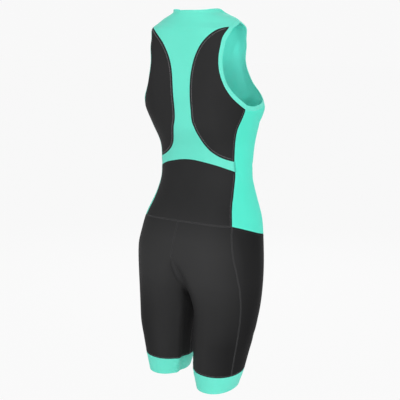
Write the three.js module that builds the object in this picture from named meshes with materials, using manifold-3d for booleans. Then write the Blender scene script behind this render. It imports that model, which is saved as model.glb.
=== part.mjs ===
import * as THREE from "three";
import Module from "manifold-3d";

// Millimetres. Z is up, +X is the wearer's left, the front faces -Y.
// The origin is where the wearer's shoulders hold the suit, midway between
// the two points where the neck edge meets the shoulder seams.

// Cloth
const WALL = 1.5;
const SEAM_GAP = 0.3;
const BINDING_WIDTH = 10;
const ZIP_HALF = 6;

// Levels
const JOIN_Z = -540;
const CROTCH_Z = -645;
const CROTCH_POWER = 1.35;
const LEG_TOP_Z = -690;
const BAND_TOP_Z = -810;
const HEM_Z = -850;

// Stance: the hips turn a little on the chest and the right leg stands back
const TWIST_DEGREES = -4;
const TWIST_FROM_Z = -330;
const TWIST_TO_Z = -540;
const STRIDE = 13.5;
const STRIDE_FROM_Z = -650;
const STRIDE_TO_Z = -850;

// Crotch: how far the cloth bridges sideways before it turns down a leg
const ARCH = 36;
const FAN_DEGREES = 24;
const LEG_CORNER_DEGREES = 45;
const LEG_FULLNESS = 2.15;

// Armholes: how deep their edges turn in, and the turns and levels over which
// they do so
const CURL_DEPTH = 8;
const CURL_BACK = { from: 47, to: 62 };
const CURL_FRONT = { from: 142, to: 118 };
const CURL_TOP = { from: -36, to: -70 };
const CURL_BOTTOM = { from: -200, to: -150 };

// Level cuts of the body, from the neck to the hips
const TORSO_COLUMNS = ["z", "half", "back", "front", "fullness"];
const TORSO = table(TORSO_COLUMNS, [
  [10, 38, 52, -50, 2.2],
  [0, 52, 55, -53, 2.2],
  [-8, 55.5, 56, -66, 2.15],
  [-20, 84, 59, -74, 1.95],
  [-32, 100.5, 63.5, -76, 2.1],
  [-45, 104.5, 68, -73, 3.3],
  [-75, 108.5, 71.5, -74, 4.3],
  [-115, 108, 73, -78, 4.2],
  [-158, 113, 75, -98, 4.3],
  [-180, 125.5, 74.5, -110, 3.4],
  [-198, 135.5, 72.5, -118, 2.7],
  [-217, 138.5, 69.5, -125, 2.5],
  [-255, 126, 65, -128, 2.2],
  [-300, 112.5, 45.5, -127, 2.2],
  [-345, 110, 41, -119, 2.2],
  [-380, 110.5, 46, -121, 2.2],
  [-420, 122, 61.5, -127, 2.2],
  [-465, 140, 85, -129, 2.2],
  [-500, 147.5, 99, -128, 2.2],
  [-540, 153, 109, -125, 2.2],
  [-580, 153, 102, -126, 2.2],
]);

// Level cuts of the left leg
const LEG_COLUMNS = ["z", "inner", "outer", "back", "front"];
const LEG = table(LEG_COLUMNS, [
  [-690, 8.5, 150.5, 79, -77],
  [-730, 14, 147, 82, -66],
  [-770, 19, 140, 82, -56],
  [-815, 23, 133, 79.5, -42],
  [-850, 34.5, 121.5, 79.5, -36.5],
]);

// Seams of the left half on the body: the turn in degrees from the centre
// back towards the wearer's left, and the level
const SEAM_COLUMNS = ["turn", "z"];
const NECK_BACK = table(SEAM_COLUMNS, [
  [0, -3.4],
  [25, -3.6],
  [45, -2.6],
  [62, -0.8],
  [80, 0.3],
  [95, 0],
]);
const NECK_FRONT = table(SEAM_COLUMNS, [
  [95, 0],
  [104, -2.7],
  [115, -6.3],
  [128, -13],
  [138, -22],
  [145, -32],
  [151, -43],
  [157, -54],
  [164, -62],
  [171, -66.3],
  [175, -67.5],
]);
const SHOULDER = table(SEAM_COLUMNS, [
  [95, 0],
  [95, -8],
  [95, -16],
  [95, -24],
]);
const ARMHOLE_TOP = table(SEAM_COLUMNS, [
  [95, -24],
  [87.5, -25],
  [78, -30],
  [67.5, -38.5],
]);
const ARMHOLE_BACK = table(SEAM_COLUMNS, [
  [67.5, -38.5],
  [59, -59],
  [54.2, -86.5],
  [52.8, -107],
  [52, -129],
  [52.6, -148],
  [55, -169],
  [58.6, -186.5],
  [64.5, -202],
  [69.5, -212.5],
]);
const ARMHOLE_UNDER = table(SEAM_COLUMNS, [
  [69.5, -212.5],
  [75, -215.8],
  [81, -217.2],
  [88, -216.2],
]);
const ARMHOLE_FRONT = table(SEAM_COLUMNS, [
  [88, -216.2],
  [97, -213],
  [106, -207],
  [113, -199.5],
  [118, -190],
  [122.5, -178],
  [128, -163],
  [131, -148],
  [131.5, -130],
  [129.5, -110],
  [127, -90],
  [122.5, -68],
  [116.5, -48],
  [109, -35],
  [101.5, -27],
  [95, -24],
]);
const YOKE_EDGE = table(SEAM_COLUMNS, [
  [67.5, -38.5],
  [58, -41],
  [49.5, -47],
  [41, -58.5],
  [33, -73.5],
  [26.8, -90],
  [21.2, -110],
  [16.8, -132],
  [14.2, -155],
  [12.5, -183],
  [11.8, -212],
  [12.3, -236],
  [15, -252],
  [18.5, -269],
  [24, -288],
  [32, -304.5],
  [41, -315.5],
  [52, -324.5],
  [64.5, -331],
]);
const SIDE_UPPER = table(SEAM_COLUMNS, [
  [69.5, -212.5],
  [67, -239],
  [64.5, -262],
  [63.6, -289],
  [63.8, -309],
  [64.5, -331],
]);
const SIDE_FLARE = table(SEAM_COLUMNS, [
  [64.5, -331],
  [65.7, -343],
  [66.8, -354],
]);
const SIDE_LOWER = table(SEAM_COLUMNS, [
  [66.8, -354],
  [66.3, -374],
  [63.2, -404],
  [61.2, -423],
  [60.4, -442],
  [60.5, -467],
]);
const SIDE_HIP = table(SEAM_COLUMNS, [
  [60.5, -467],
  [60.3, -485],
  [61.5, -512],
  [63.5, -540],
]);
const SIDE_LEG = table(SEAM_COLUMNS, [
  [63.5, -540],
  [65.3, -564],
  [67, -604],
  [67, -640],
  [66.5, -676],
  [67, -723],
  [68, -761],
  [70, -810],
  [71, -850],
]);
const WAIST_ARCH = table(SEAM_COLUMNS, [
  [0, -327.5],
  [13, -328.8],
  [28, -332.8],
  [42.5, -338.5],
  [55, -345.8],
  [66.8, -354],
]);
const HIP_BACK = table(SEAM_COLUMNS, [
  [0, -460.5],
  [24, -461.2],
  [40.5, -463.8],
  [54.5, -466.2],
  [60.5, -467],
]);
const HIP_FRONT = table(SEAM_COLUMNS, [
  [60.5, -467],
  [68.5, -472],
  [79.5, -480.5],
  [96, -493.5],
  [115, -504.5],
  [140, -514],
  [160, -519],
  [177.5, -521],
]);
const CHEST_LINE = table(SEAM_COLUMNS, [
  [88, -216.2],
  [110, -222],
  [140, -224],
  [177.5, -224],
]);

// Where the yoke's rows level with the side panel's lower end meet the spine
const SPINE_AT_FLARE_Z = -321;

// How many steps each seam is cut into
const STEPS = {
  neckBack: 5,
  shoulder: 3,
  back: 8,
  panel: 5,
  armholeTop: 3,
  armholeBack: 10,
  armholeUnder: 3,
  armholeFront: 12,
  sideUpper: 7,
  sideFlare: 2,
  sideLower: 6,
  hipRows: 4,
  legRows: 12,
  bandRows: 2,
  hipFront: 11,
  innerBack: 5,
  innerFront: 5,
};

// Zip slider and pull
const SLIDER_Z = -84;
const SLIDER = { width: 8.4, length: 11, plate: 1.4, lift: 0.4 };
const BRIDGE = { width: 3, length: 6.4, height: 4.2, wire: 1.1 };
const PULL = { width: 7, length: 27, thickness: 1.3, bar: 1.3, window: 6.4 };
const PULL_LEAN_DEGREES = 5;

const MINT = 0x6fe3cf;
const BLACK = 0x303133;
const METAL = 0x8d9296;

function table(columns, rows) {
  return rows.map((row) => Object.fromEntries(columns.map((name, i) => [name, row[i]])));
}

function smooth(t) {
  const k = Math.min(1, Math.max(0, t));
  return k * k * (3 - 2 * k);
}

// A table's other columns at a level, by cubic pieces through its rows
function levelRow(rows, columns, z) {
  let i = 0;
  while (i < rows.length - 2 && z < rows[i + 1].z) {
    i += 1;
  }
  const here = rows[i];
  const next = rows[i + 1];
  const step = next.z - here.z;
  const t = (z - here.z) / step;
  const k = Math.min(1, Math.max(0, t));
  const out = {};
  for (const name of columns.slice(1)) {
    const slope = (j) => {
      const a = rows[Math.max(0, j - 1)];
      const b = rows[Math.min(rows.length - 1, j + 1)];
      return ((b[name] - a[name]) / (b.z - a.z)) * step;
    };
    const value =
      (2 * k ** 3 - 3 * k ** 2 + 1) * here[name] +
      (k ** 3 - 2 * k ** 2 + k) * slope(i) +
      (3 * k ** 2 - 2 * k ** 3) * next[name] +
      (k ** 3 - k ** 2) * slope(i + 1);
    out[name] = value + (t - k) * slope(t > 1 ? i + 1 : i);
  }
  return out;
}

// A full oval: fullness 2 is an ellipse, more is squarer
function ovalPoint(turn, half, depth, fullness) {
  const s = Math.sin(turn);
  const c = Math.cos(turn);
  const r = (Math.abs(s / half) ** fullness + Math.abs(c / depth) ** fullness) ** (-1 / fullness);
  return [r * s, r * c];
}

// How far the cloth turns in towards an armhole
function curl(turn, z) {
  const ramp = ({ from, to }, value) => smooth((value - from) / (to - from));
  const round = ramp(CURL_BACK, turn) * ramp(CURL_FRONT, turn);
  return CURL_DEPTH * round * ramp(CURL_TOP, z) * ramp(CURL_BOTTOM, z);
}

function torsoPoint(turn, z) {
  const row = levelRow(TORSO, TORSO_COLUMNS, z);
  const depth = (row.back - row.front) / 2;
  const [x, y] = ovalPoint((turn * Math.PI) / 180, row.half, depth, row.fullness);
  const share = 1 - curl(turn, z) / Math.hypot(x, y);
  return new THREE.Vector3(x * share, y * share + (row.back + row.front) / 2, z);
}

// The crotch seam from the centre back, 0, to the centre front, 1
function crotchPoint(along) {
  const row = levelRow(TORSO, TORSO_COLUMNS, JOIN_Z);
  const middle = (row.back + row.front) / 2;
  const reach = (row.back - row.front) / 2;
  const angle = Math.PI * along;
  const drop = (JOIN_Z - CROTCH_Z) * Math.abs(Math.sin(angle)) ** CROTCH_POWER;
  return new THREE.Vector3(0, middle + reach * Math.cos(angle), JOIN_Z - drop);
}

// The left leg's level cut. The turn runs 0 to 180 round the outside and
// 180 to 360 back along the inside
function legRing(turn, z) {
  const outside = 180 + 2 * LEG_CORNER_DEGREES;
  const angle =
    turn <= 180
      ? -LEG_CORNER_DEGREES + (outside / 180) * turn
      : 180 + LEG_CORNER_DEGREES + ((360 - outside) / 180) * (turn - 180);
  const row = levelRow(LEG, LEG_COLUMNS, z);
  const half = (row.outer - row.inner) / 2;
  const depth = (row.back - row.front) / 2;
  const [x, y] = ovalPoint((angle * Math.PI) / 180, half, depth, LEG_FULLNESS);
  return new THREE.Vector3(x + (row.outer + row.inner) / 2, y + (row.back + row.front) / 2, z);
}

// The left leg below the join: from the body's cut and the crotch seam down
// into the leg's own rings
function legPoint(turn, z) {
  if (z <= LEG_TOP_Z) {
    return legRing(turn, z);
  }
  const outside = turn <= 180;
  const span = JOIN_Z - LEG_TOP_Z;
  const top = outside ? torsoPoint(turn, JOIN_Z) : crotchPoint((360 - turn) / 180);
  const fromCorner = outside ? Math.min(turn, 180 - turn) : Math.min(360 - turn, turn - 180);
  const k = smooth(fromCorner / FAN_DEGREES);
  const corner = new THREE.Vector3(0.62 * ARCH, 0, -0.62 * ARCH);
  const away = new THREE.Vector3(ARCH, 0, 0);
  if (outside) {
    away.subVectors(torsoPoint(turn, JOIN_Z - 1), torsoPoint(turn, JOIN_Z + 1));
    away.multiplyScalar(span / 2);
  }
  const start = corner.multiplyScalar(1 - k).addScaledVector(away, k);
  const end = legRing(turn, LEG_TOP_Z);
  const stop = legRing(turn, LEG_TOP_Z - 1).sub(end).multiplyScalar(top.z - LEG_TOP_Z);
  const t = Math.min(1, Math.max(0, (JOIN_Z - z) / span));
  return new THREE.Vector3()
    .addScaledVector(top, 2 * t ** 3 - 3 * t ** 2 + 1)
    .addScaledVector(start, t ** 3 - 2 * t ** 2 + t)
    .addScaledVector(end, 3 * t ** 2 - 2 * t ** 3)
    .addScaledVector(stop, t ** 3 - t ** 2);
}

// Puts a point of the left half in its place in the stance; side is 1 for the
// wearer's left and -1 for the right
function stand(point, side) {
  const k = smooth((STRIDE_FROM_Z - point.z) / (STRIDE_FROM_Z - STRIDE_TO_Z));
  const turned = smooth((TWIST_FROM_Z - point.z) / (TWIST_FROM_Z - TWIST_TO_Z));
  const angle = ((TWIST_DEGREES * Math.PI) / 180) * turned;
  const x = side * point.x;
  const y = point.y - side * STRIDE * k;
  const c = Math.cos(angle);
  const s = Math.sin(angle);
  return new THREE.Vector3(x * c - y * s, x * s + y * c, point.z);
}

// A seam's rows as evenly spaced places [turn, z], by cubic pieces between them
function seam(rows, steps) {
  const at = (u) => {
    const i = Math.min(rows.length - 2, Math.floor(u));
    const t = u - i;
    const pick = (j) => rows[Math.min(rows.length - 1, Math.max(0, j))];
    return ["turn", "z"].map((name) => {
      const p0 = i > 0 ? pick(i - 1)[name] : 2 * pick(0)[name] - pick(1)[name];
      const p1 = pick(i)[name];
      const p2 = pick(i + 1)[name];
      const p3 = i < rows.length - 2 ? pick(i + 2)[name] : 2 * p2 - p1;
      const bend = 2 * p0 - 5 * p1 + 4 * p2 - p3;
      return p1 + 0.5 * t * (p2 - p0 + t * (bend + t * (3 * (p1 - p2) + p3 - p0)));
    });
  };
  const fine = [];
  const lengths = [0];
  const parts = (rows.length - 1) * 24;
  for (let i = 0; i <= parts; i += 1) {
    fine.push(at((i / parts) * (rows.length - 1)));
    if (i > 0) {
      const step = torsoPoint(...fine[i]).distanceTo(torsoPoint(...fine[i - 1]));
      lengths.push(lengths[i - 1] + step);
    }
  }
  const out = [];
  for (let k = 0; k <= steps; k += 1) {
    const want = (lengths[parts] * k) / steps;
    let i = 0;
    while (i < parts - 1 && lengths[i + 1] < want) {
      i += 1;
    }
    const t = (want - lengths[i]) / (lengths[i + 1] - lengths[i] || 1);
    out.push([0, 1].map((j) => fine[i][j] + t * (fine[i + 1][j] - fine[i][j])));
  }
  return out;
}

function seamTurn(rows, z) {
  let i = 0;
  while (i < rows.length - 2 && z < rows[i + 1].z) {
    i += 1;
  }
  const t = (z - rows[i].z) / (rows[i + 1].z - rows[i].z);
  return rows[i].turn + t * (rows[i + 1].turn - rows[i].turn);
}

// A grid of places filling four edges: top and bottom run the same way, and
// left and right run from top to bottom. A higher fade keeps the bends of the
// top and bottom edges near those edges
function fill(top, bottom, left, right, fade = 1) {
  const m = top.length - 1;
  const n = left.length - 1;
  const mix = (a, b, t) => a + (b - a) * t;
  return left.map((l, j) => {
    const v = j / n;
    return top.map((a, i) => {
      const u = i / m;
      return [0, 1].map((k) => {
        const topBend = a[k] - mix(top[0][k], top[m][k], u);
        const bottomBend = bottom[i][k] - mix(bottom[0][k], bottom[m][k], u);
        return mix(l[k], right[j][k], u) + topBend * (1 - v) ** fade + bottomBend * v ** fade;
      });
    });
  });
}

// Straight places between two ends, in equal steps
function between(a, b, steps) {
  return Array.from({ length: steps + 1 }, (_, i) => [0, 1].map((k) => a[k] + ((b[k] - a[k]) * i) / steps));
}

// The place where the zip's edge lies at a level
function zipEdge(z) {
  const row = levelRow(TORSO, TORSO_COLUMNS, z);
  const depth = (row.back - row.front) / 2;
  let turn = 178;
  for (let i = 0; i < 20; i += 1) {
    const [x] = ovalPoint((turn * Math.PI) / 180, row.half, depth, row.fullness);
    turn = 180 - ((180 - turn) * ZIP_HALF) / x;
  }
  return [turn, z];
}

// The place a given distance to the side of an edge, towards the armhole
function besideEdge(places, i, distance) {
  const n = places.length;
  const along = torsoPoint(...places[(i + 1) % n]).sub(torsoPoint(...places[(i + n - 1) % n]));
  const [turn, z] = places[i];
  const byTurn = torsoPoint(turn + 0.5, z).sub(torsoPoint(turn - 0.5, z));
  const byLevel = torsoPoint(turn, z + 0.5).sub(torsoPoint(turn, z - 0.5));
  const out = byTurn.clone().cross(byLevel).normalize();
  const way = out.cross(along).normalize().multiplyScalar(distance);
  const aa = byTurn.dot(byTurn);
  const ab = byTurn.dot(byLevel);
  const bb = byLevel.dot(byLevel);
  const det = aa * bb - ab * ab;
  const dTurn = (bb * byTurn.dot(way) - ab * byLevel.dot(way)) / det;
  const dLevel = (aa * byLevel.dot(way) - ab * byTurn.dot(way)) / det;
  return [turn + dTurn, z + dLevel];
}

// One sewn piece: its faces as loops of points on the outer face of the cloth
class Piece {
  constructor(name, color) {
    this.name = name;
    this.color = color;
    this.faces = [];
  }

  addGrid(points, outward) {
    for (let j = 0; j + 1 < points.length; j += 1) {
      for (let i = 0; i + 1 < points[j].length; i += 1) {
        const face = [points[j][i], points[j][i + 1], points[j + 1][i + 1], points[j + 1][i]];
        this.faces.push(outward ? face : face.reverse());
      }
    }
  }

  // A grid of places on the body; side 1 for the left half, -1 for the right.
  // Rows run down and columns run from the centre back to the centre front.
  addBody(places, side) {
    const points = places.map((row) => row.map(([turn, z]) => stand(torsoPoint(turn, z), side)));
    this.addGrid(points, side > 0);
  }

  addLeg(places, side) {
    const points = places.map((row) => row.map(([turn, z]) => stand(legPoint(turn, z), side)));
    this.addGrid(points, side > 0);
  }
}

function key(point) {
  return [point.x, point.y, point.z].map((v) => Math.round(v * 200)).join(",");
}

// Outward directions at every point, shared by all pieces that meet there
function outwardField(pieces) {
  const field = new Map();
  for (const piece of pieces) {
    for (const face of piece.faces) {
      const normal = new THREE.Vector3().subVectors(face[2], face[0]);
      normal.cross(new THREE.Vector3().subVectors(face[3], face[1]));
      for (const point of face) {
        const k = key(point);
        if (!field.has(k)) {
          field.set(k, new THREE.Vector3());
        }
        field.get(k).add(normal);
      }
    }
  }
  for (const direction of field.values()) {
    direction.normalize();
  }
  return field;
}

// Closes a piece into a wall: edges draw in by half the seam gap, then the
// outer face, the inner face and the rims are joined
function wallGeometry(piece, field) {
  const index = new Map();
  const points = [];
  const outward = [];
  const faces = [];
  for (const face of piece.faces) {
    const loop = [];
    for (const point of face) {
      const k = key(point);
      if (!index.has(k)) {
        index.set(k, points.length);
        points.push(point.clone());
        outward.push(field.get(k));
      }
      const at = index.get(k);
      if (!loop.includes(at)) {
        loop.push(at);
      }
    }
    if (loop.length > 2) {
      faces.push(loop);
    }
  }
  const used = new Set();
  for (const loop of faces) {
    loop.forEach((a, i) => used.add(a + ">" + loop[(i + 1) % loop.length]));
  }
  const rim = [];
  for (const loop of faces) {
    loop.forEach((a, i) => {
      const b = loop[(i + 1) % loop.length];
      if (!used.has(b + ">" + a)) {
        rim.push([a, b]);
      }
    });
  }
  const pull = new Map();
  for (const [a, b] of rim) {
    const along = new THREE.Vector3().subVectors(points[b], points[a]).normalize();
    for (const at of [a, b]) {
      const inward = new THREE.Vector3().crossVectors(outward[at], along).normalize();
      if (!pull.has(at)) {
        pull.set(at, []);
      }
      pull.get(at).push(inward);
    }
  }
  const moved = points.map((point, at) => {
    const sides = pull.get(at);
    if (!sides) {
      return point;
    }
    const sum = sides.reduce((total, way) => total.add(way), new THREE.Vector3()).normalize();
    const share = Math.max(0.3, sum.dot(sides[0]));
    return point.clone().addScaledVector(sum, SEAM_GAP / 2 / share);
  });
  const n = points.length;
  const inner = moved.map((point, at) => point.clone().addScaledVector(outward[at], -WALL));
  const position = [];
  for (const point of moved.concat(inner)) {
    position.push(point.x, point.y, point.z);
  }
  const triangles = [];
  const halves = (loop) => {
    if (loop.length === 3) {
      return [loop];
    }
    const [a, b, c, d] = loop;
    const short = moved[a].distanceTo(moved[c]) <= moved[b].distanceTo(moved[d]);
    return short ? [[a, b, c], [a, c, d]] : [[a, b, d], [b, c, d]];
  };
  for (const loop of faces) {
    for (const [a, b, c] of halves(loop)) {
      triangles.push(a, b, c, n + a, n + c, n + b);
    }
  }
  for (const [a, b] of rim) {
    triangles.push(a, n + a, b, b, n + a, n + b);
  }
  const geometry = new THREE.BufferGeometry();
  geometry.setAttribute("position", new THREE.Float32BufferAttribute(position, 3));
  geometry.setIndex(triangles);
  geometry.computeVertexNormals();
  return geometry;
}

// All cut edges, as lists of places from the top down or from the back round
function cutEdges() {
  const chestSteps = STEPS.hipFront - STEPS.armholeUnder;
  const frontRows = STEPS.sideUpper + STEPS.sideFlare + STEPS.sideLower;
  const endAtZip = (rows) => {
    const [turn, z] = zipEdge(rows[rows.length - 1].z);
    return rows.slice(0, -1).concat([{ turn, z }]);
  };
  const neckRows = endAtZip(NECK_FRONT);
  const chestRows = endAtZip(CHEST_LINE);
  const hipRows = endAtZip(HIP_FRONT);
  const levels = (from, to, steps) => between([0, from], [0, to], steps).map(([, z]) => z);
  const neckZ = neckRows[neckRows.length - 1].z;
  const chestZ = chestRows[chestRows.length - 1].z;
  const hipZ = hipRows[hipRows.length - 1].z;
  return {
    neckBack: seam(NECK_BACK, STEPS.neckBack),
    neckFront: seam(neckRows, chestSteps - STEPS.shoulder),
    shoulder: seam(SHOULDER, STEPS.shoulder),
    armholeTop: seam(ARMHOLE_TOP, STEPS.armholeTop),
    armholeBack: seam(ARMHOLE_BACK, STEPS.armholeBack),
    armholeUnder: seam(ARMHOLE_UNDER, STEPS.armholeUnder),
    armholeFront: seam(ARMHOLE_FRONT, STEPS.armholeFront),
    yokeEdge: seam(YOKE_EDGE, STEPS.armholeBack + STEPS.sideUpper),
    sideUpper: seam(SIDE_UPPER, STEPS.sideUpper),
    sideFlare: seam(SIDE_FLARE, STEPS.sideFlare),
    sideLower: seam(SIDE_LOWER, STEPS.sideLower),
    sideHip: seam(SIDE_HIP, STEPS.hipRows),
    waistArch: seam(WAIST_ARCH, STEPS.back),
    hipBack: seam(HIP_BACK, STEPS.back),
    hipFront: seam(hipRows, STEPS.hipFront),
    chest: seam(chestRows, chestSteps),
    zipUpper: levels(neckZ, chestZ, STEPS.armholeFront).map(zipEdge),
    zipLower: levels(chestZ, hipZ, frontRows).map(zipEdge),
  };
}

// Joins edges that follow each other
function joined(...edges) {
  return edges.reduce((all, edge) => all.concat(edge.slice(all.length ? 1 : 0)));
}

// The turns of the leg's columns at a level, for the back and the front leg
function legTurns(z) {
  const side = seamTurn(SIDE_LEG, z);
  const list = (from, to, steps) => between([from, 0], [to, 0], steps).map(([turn]) => turn);
  return {
    back: joined(list(270, 360, STEPS.innerBack), list(0, side, STEPS.back)),
    front: joined(list(side, 180, STEPS.hipFront + 1), list(180, 270, STEPS.innerFront)),
  };
}

function legGrid(part, from, to, steps) {
  return between([0, from], [0, to], steps).map(([, z]) => legTurns(z)[part].map((turn) => [turn, z]));
}

function clothPieces() {
  const e = cutEdges();
  const pieces = new Map();
  const piece = (name, color) => {
    if (!pieces.has(name)) {
      pieces.set(name, new Piece(name, color));
    }
    return pieces.get(name);
  };
  const last = (edge) => edge[edge.length - 1];

  // Back: shoulders, strip and flare, side panel, lower back
  const tipLine = between([0, YOKE_EDGE[0].z], e.armholeBack[0], STEPS.back);
  const top = joined(e.neckBack, e.shoulder);
  const shoulders = fill(top, tipLine, between(top[0], tipLine[0], STEPS.armholeTop), e.armholeTop);
  const stripSide = joined(e.yokeEdge, e.sideFlare);
  const spine = joined(
    between(tipLine[0], [0, SPINE_AT_FLARE_Z], e.yokeEdge.length - 1),
    between([0, SPINE_AT_FLARE_Z], e.waistArch[0], STEPS.sideFlare),
  );
  const strip = fill(tipLine, e.waistArch, spine, stripSide);
  const panelSide = joined(e.armholeBack, e.sideUpper);
  const panel = e.yokeEdge.map((place, j) => between(place, panelSide[j], STEPS.panel));
  const lowSpine = between(e.waistArch[0], e.hipBack[0], STEPS.sideLower);
  const lower = fill(e.waistArch, e.hipBack, lowSpine, e.sideLower);

  // Front, below and above the line from the underarm to the zip
  const side = joined(e.sideUpper, e.sideFlare, e.sideLower);
  const frontTop = joined(e.armholeUnder, e.chest);
  const frontLower = fill(frontTop, e.hipFront, side, e.zipLower);
  const throat = joined(e.shoulder.slice().reverse(), e.neckFront);
  const frontUpper = fill(throat, e.chest, e.armholeFront.slice().reverse(), e.zipUpper, 3);
  const zipEdges = joined(e.zipUpper, e.zipLower);

  // Armhole binding: a band turned in from the closed armhole seam
  const armhole = joined(e.armholeTop, e.armholeBack, e.armholeUnder, e.armholeFront).slice(0, -1);
  const binding = [1, 0.5, 0].map((part) => {
    const ring = armhole.map((_, i) => besideEdge(armhole, i, part * BINDING_WIDTH));
    return ring.concat([ring[0]]);
  });

  // Shorts between the hip seam and the join, then the legs and the hem bands
  const join = legTurns(JOIN_Z);
  const onJoin = (turns) => turns.map((turn) => [turn, JOIN_Z]);
  const backJoin = onJoin(join.back.slice(STEPS.innerBack + 1));
  backJoin.unshift([0, JOIN_Z]);
  const seat = fill(e.hipBack, backJoin, between(e.hipBack[0], [0, JOIN_Z], STEPS.hipRows), e.sideHip);
  const frontJoin = onJoin(join.front.slice(0, STEPS.hipFront + 2));
  const hipTop = e.hipFront.concat([[180, last(e.hipFront)[1]]]);
  const belly = fill(hipTop, frontJoin, e.sideHip, between(last(hipTop), [180, JOIN_Z], STEPS.hipRows));

  for (const [word, way] of [["left", 1], ["right", -1]]) {
    piece("back_yoke", MINT).addBody(shoulders, way);
    piece("back_yoke", MINT).addBody(strip, way);
    piece("back_panel_" + word, BLACK).addBody(panel, way);
    piece("lower_back", BLACK).addBody(lower, way);
    piece("front_" + word, MINT).addBody(frontLower, way);
    piece("front_" + word, MINT).addBody(frontUpper, way);
    piece("armhole_binding_" + word, MINT).addBody(binding, way);
    piece("leg_back_" + word, BLACK).addBody(seat, way);
    piece("leg_front_" + word, BLACK).addBody(belly, way);
    for (const part of ["back", "front"]) {
      piece("leg_" + part + "_" + word, BLACK).addLeg(legGrid(part, JOIN_Z, BAND_TOP_Z, STEPS.legRows), way);
      piece("hem_band_" + word, MINT).addLeg(legGrid(part, BAND_TOP_Z, HEM_Z, STEPS.bandRows), way);
    }
    piece("zip_tape", MINT).addBody(zipEdges.map(([turn, z]) => [[turn, z], [180, z]]), way);
  }
  return [...pieces.values()];
}

// A closed three geometry as a solid that can be joined to others
function solidOf(wasm, geometry) {
  const index = new Map();
  const vertices = [];
  const triangles = [];
  const position = geometry.getAttribute("position");
  const count = geometry.index ? geometry.index.count : position.count;
  for (let i = 0; i < count; i += 1) {
    const at = geometry.index ? geometry.index.getX(i) : i;
    const point = new THREE.Vector3().fromBufferAttribute(position, at);
    const k = key(point);
    if (!index.has(k)) {
      index.set(k, vertices.length / 3);
      vertices.push(point.x, point.y, point.z);
    }
    triangles.push(index.get(k));
  }
  return new wasm.Manifold(
    new wasm.Mesh({
      numProp: 3,
      vertProperties: new Float32Array(vertices),
      triVerts: new Uint32Array(triangles),
    }),
  );
}

function geometryOf(solid) {
  const mesh = solid.getMesh();
  const geometry = new THREE.BufferGeometry();
  geometry.setAttribute("position", new THREE.BufferAttribute(mesh.vertProperties, 3));
  geometry.setIndex(new THREE.BufferAttribute(mesh.triVerts, 1));
  geometry.computeVertexNormals();
  return geometry;
}

function roundedShape(width, top, bottom, radius) {
  const x = width / 2;
  const shape = new THREE.Shape();
  shape.moveTo(-x + radius, top);
  shape.lineTo(x - radius, top);
  shape.absarc(x - radius, top - radius, radius, Math.PI / 2, 0, true);
  shape.lineTo(x, bottom + radius);
  shape.absarc(x - radius, bottom + radius, radius, 0, -Math.PI / 2, true);
  shape.lineTo(-x + radius, bottom);
  shape.absarc(-x + radius, bottom + radius, radius, -Math.PI / 2, -Math.PI, true);
  shape.lineTo(-x, top - radius);
  shape.absarc(-x + radius, top - radius, radius, Math.PI, Math.PI / 2, true);
  return shape;
}

// Turns a shape drawn with x to the side and y up into a plate that faces the
// front, its outer face the given distance out
function frontPlate(shape, thickness, out) {
  const options = { depth: thickness, bevelEnabled: false, curveSegments: 5 };
  const geometry = new THREE.ExtrudeGeometry(shape, options);
  geometry.rotateX(Math.PI / 2);
  geometry.translate(0, thickness - out, 0);
  return geometry;
}

// The slider in its own frame: the tape's face at y 0, the bridge at its middle
function sliderGeometry(wasm) {
  const plateOut = SLIDER.lift + SLIDER.plate;
  const half = SLIDER.length / 2;
  const plate = frontPlate(roundedShape(SLIDER.width, half, -half, 2), SLIDER.plate, plateOut);
  const reach = plateOut + BRIDGE.height;
  const z = BRIDGE.length / 2;
  const profile = new THREE.Shape();
  profile.moveTo(-z, plateOut - 0.4);
  profile.lineTo(-z, reach - 1);
  profile.lineTo(-z + 1, reach);
  profile.lineTo(z - 1, reach);
  profile.lineTo(z, reach - 1);
  profile.lineTo(z, plateOut - 0.4);
  profile.lineTo(z - BRIDGE.wire, plateOut - 0.4);
  profile.lineTo(z - BRIDGE.wire, reach - BRIDGE.wire);
  profile.lineTo(-z + BRIDGE.wire, reach - BRIDGE.wire);
  profile.lineTo(-z + BRIDGE.wire, plateOut - 0.4);
  const bridge = new THREE.ExtrudeGeometry(profile, { depth: BRIDGE.width, bevelEnabled: false });
  bridge.translate(0, 0, -BRIDGE.width / 2);
  bridge.applyMatrix4(
    new THREE.Matrix4().makeBasis(
      new THREE.Vector3(0, 0, 1),
      new THREE.Vector3(0, -1, 0),
      new THREE.Vector3(1, 0, 0),
    ),
  );
  return geometryOf(solidOf(wasm, plate).add(solidOf(wasm, bridge)));
}

// How far out from the tape the pull's bar lies
function barOut() {
  return SLIDER.lift + SLIDER.plate + (BRIDGE.height - BRIDGE.wire) / 2;
}

// The pull in the slider's frame, its bar through the bridge
function pullGeometry() {
  const top = PULL.bar / 2;
  const shape = roundedShape(PULL.width, top, top - PULL.length, 1.6);
  const x = PULL.width / 2 - PULL.bar;
  const hole = new THREE.Path();
  hole.moveTo(-x, -top);
  hole.lineTo(-x, -top - PULL.window);
  hole.lineTo(x, -top - PULL.window);
  hole.lineTo(x, -top);
  shape.holes.push(hole);
  const geometry = frontPlate(shape, PULL.thickness, PULL.thickness / 2);
  geometry.rotateX((-PULL_LEAN_DEGREES * Math.PI) / 180);
  geometry.translate(0, -barOut(), 0);
  return geometry;
}

// Where the slider stands: on the tape, turned to lie along it
function sliderPlace() {
  const here = torsoPoint(180, SLIDER_Z);
  const below = torsoPoint(180, SLIDER_Z - PULL.length);
  const lean = Math.atan2(here.y - below.y, here.z - below.z);
  const turn = new THREE.Matrix4().makeRotationX(-lean);
  return turn.setPosition(here);
}

function cloth(color) {
  return new THREE.MeshStandardMaterial({ color, roughness: 0.85, metalness: 0 });
}

const wasm = await Module();
wasm.setup();

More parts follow.
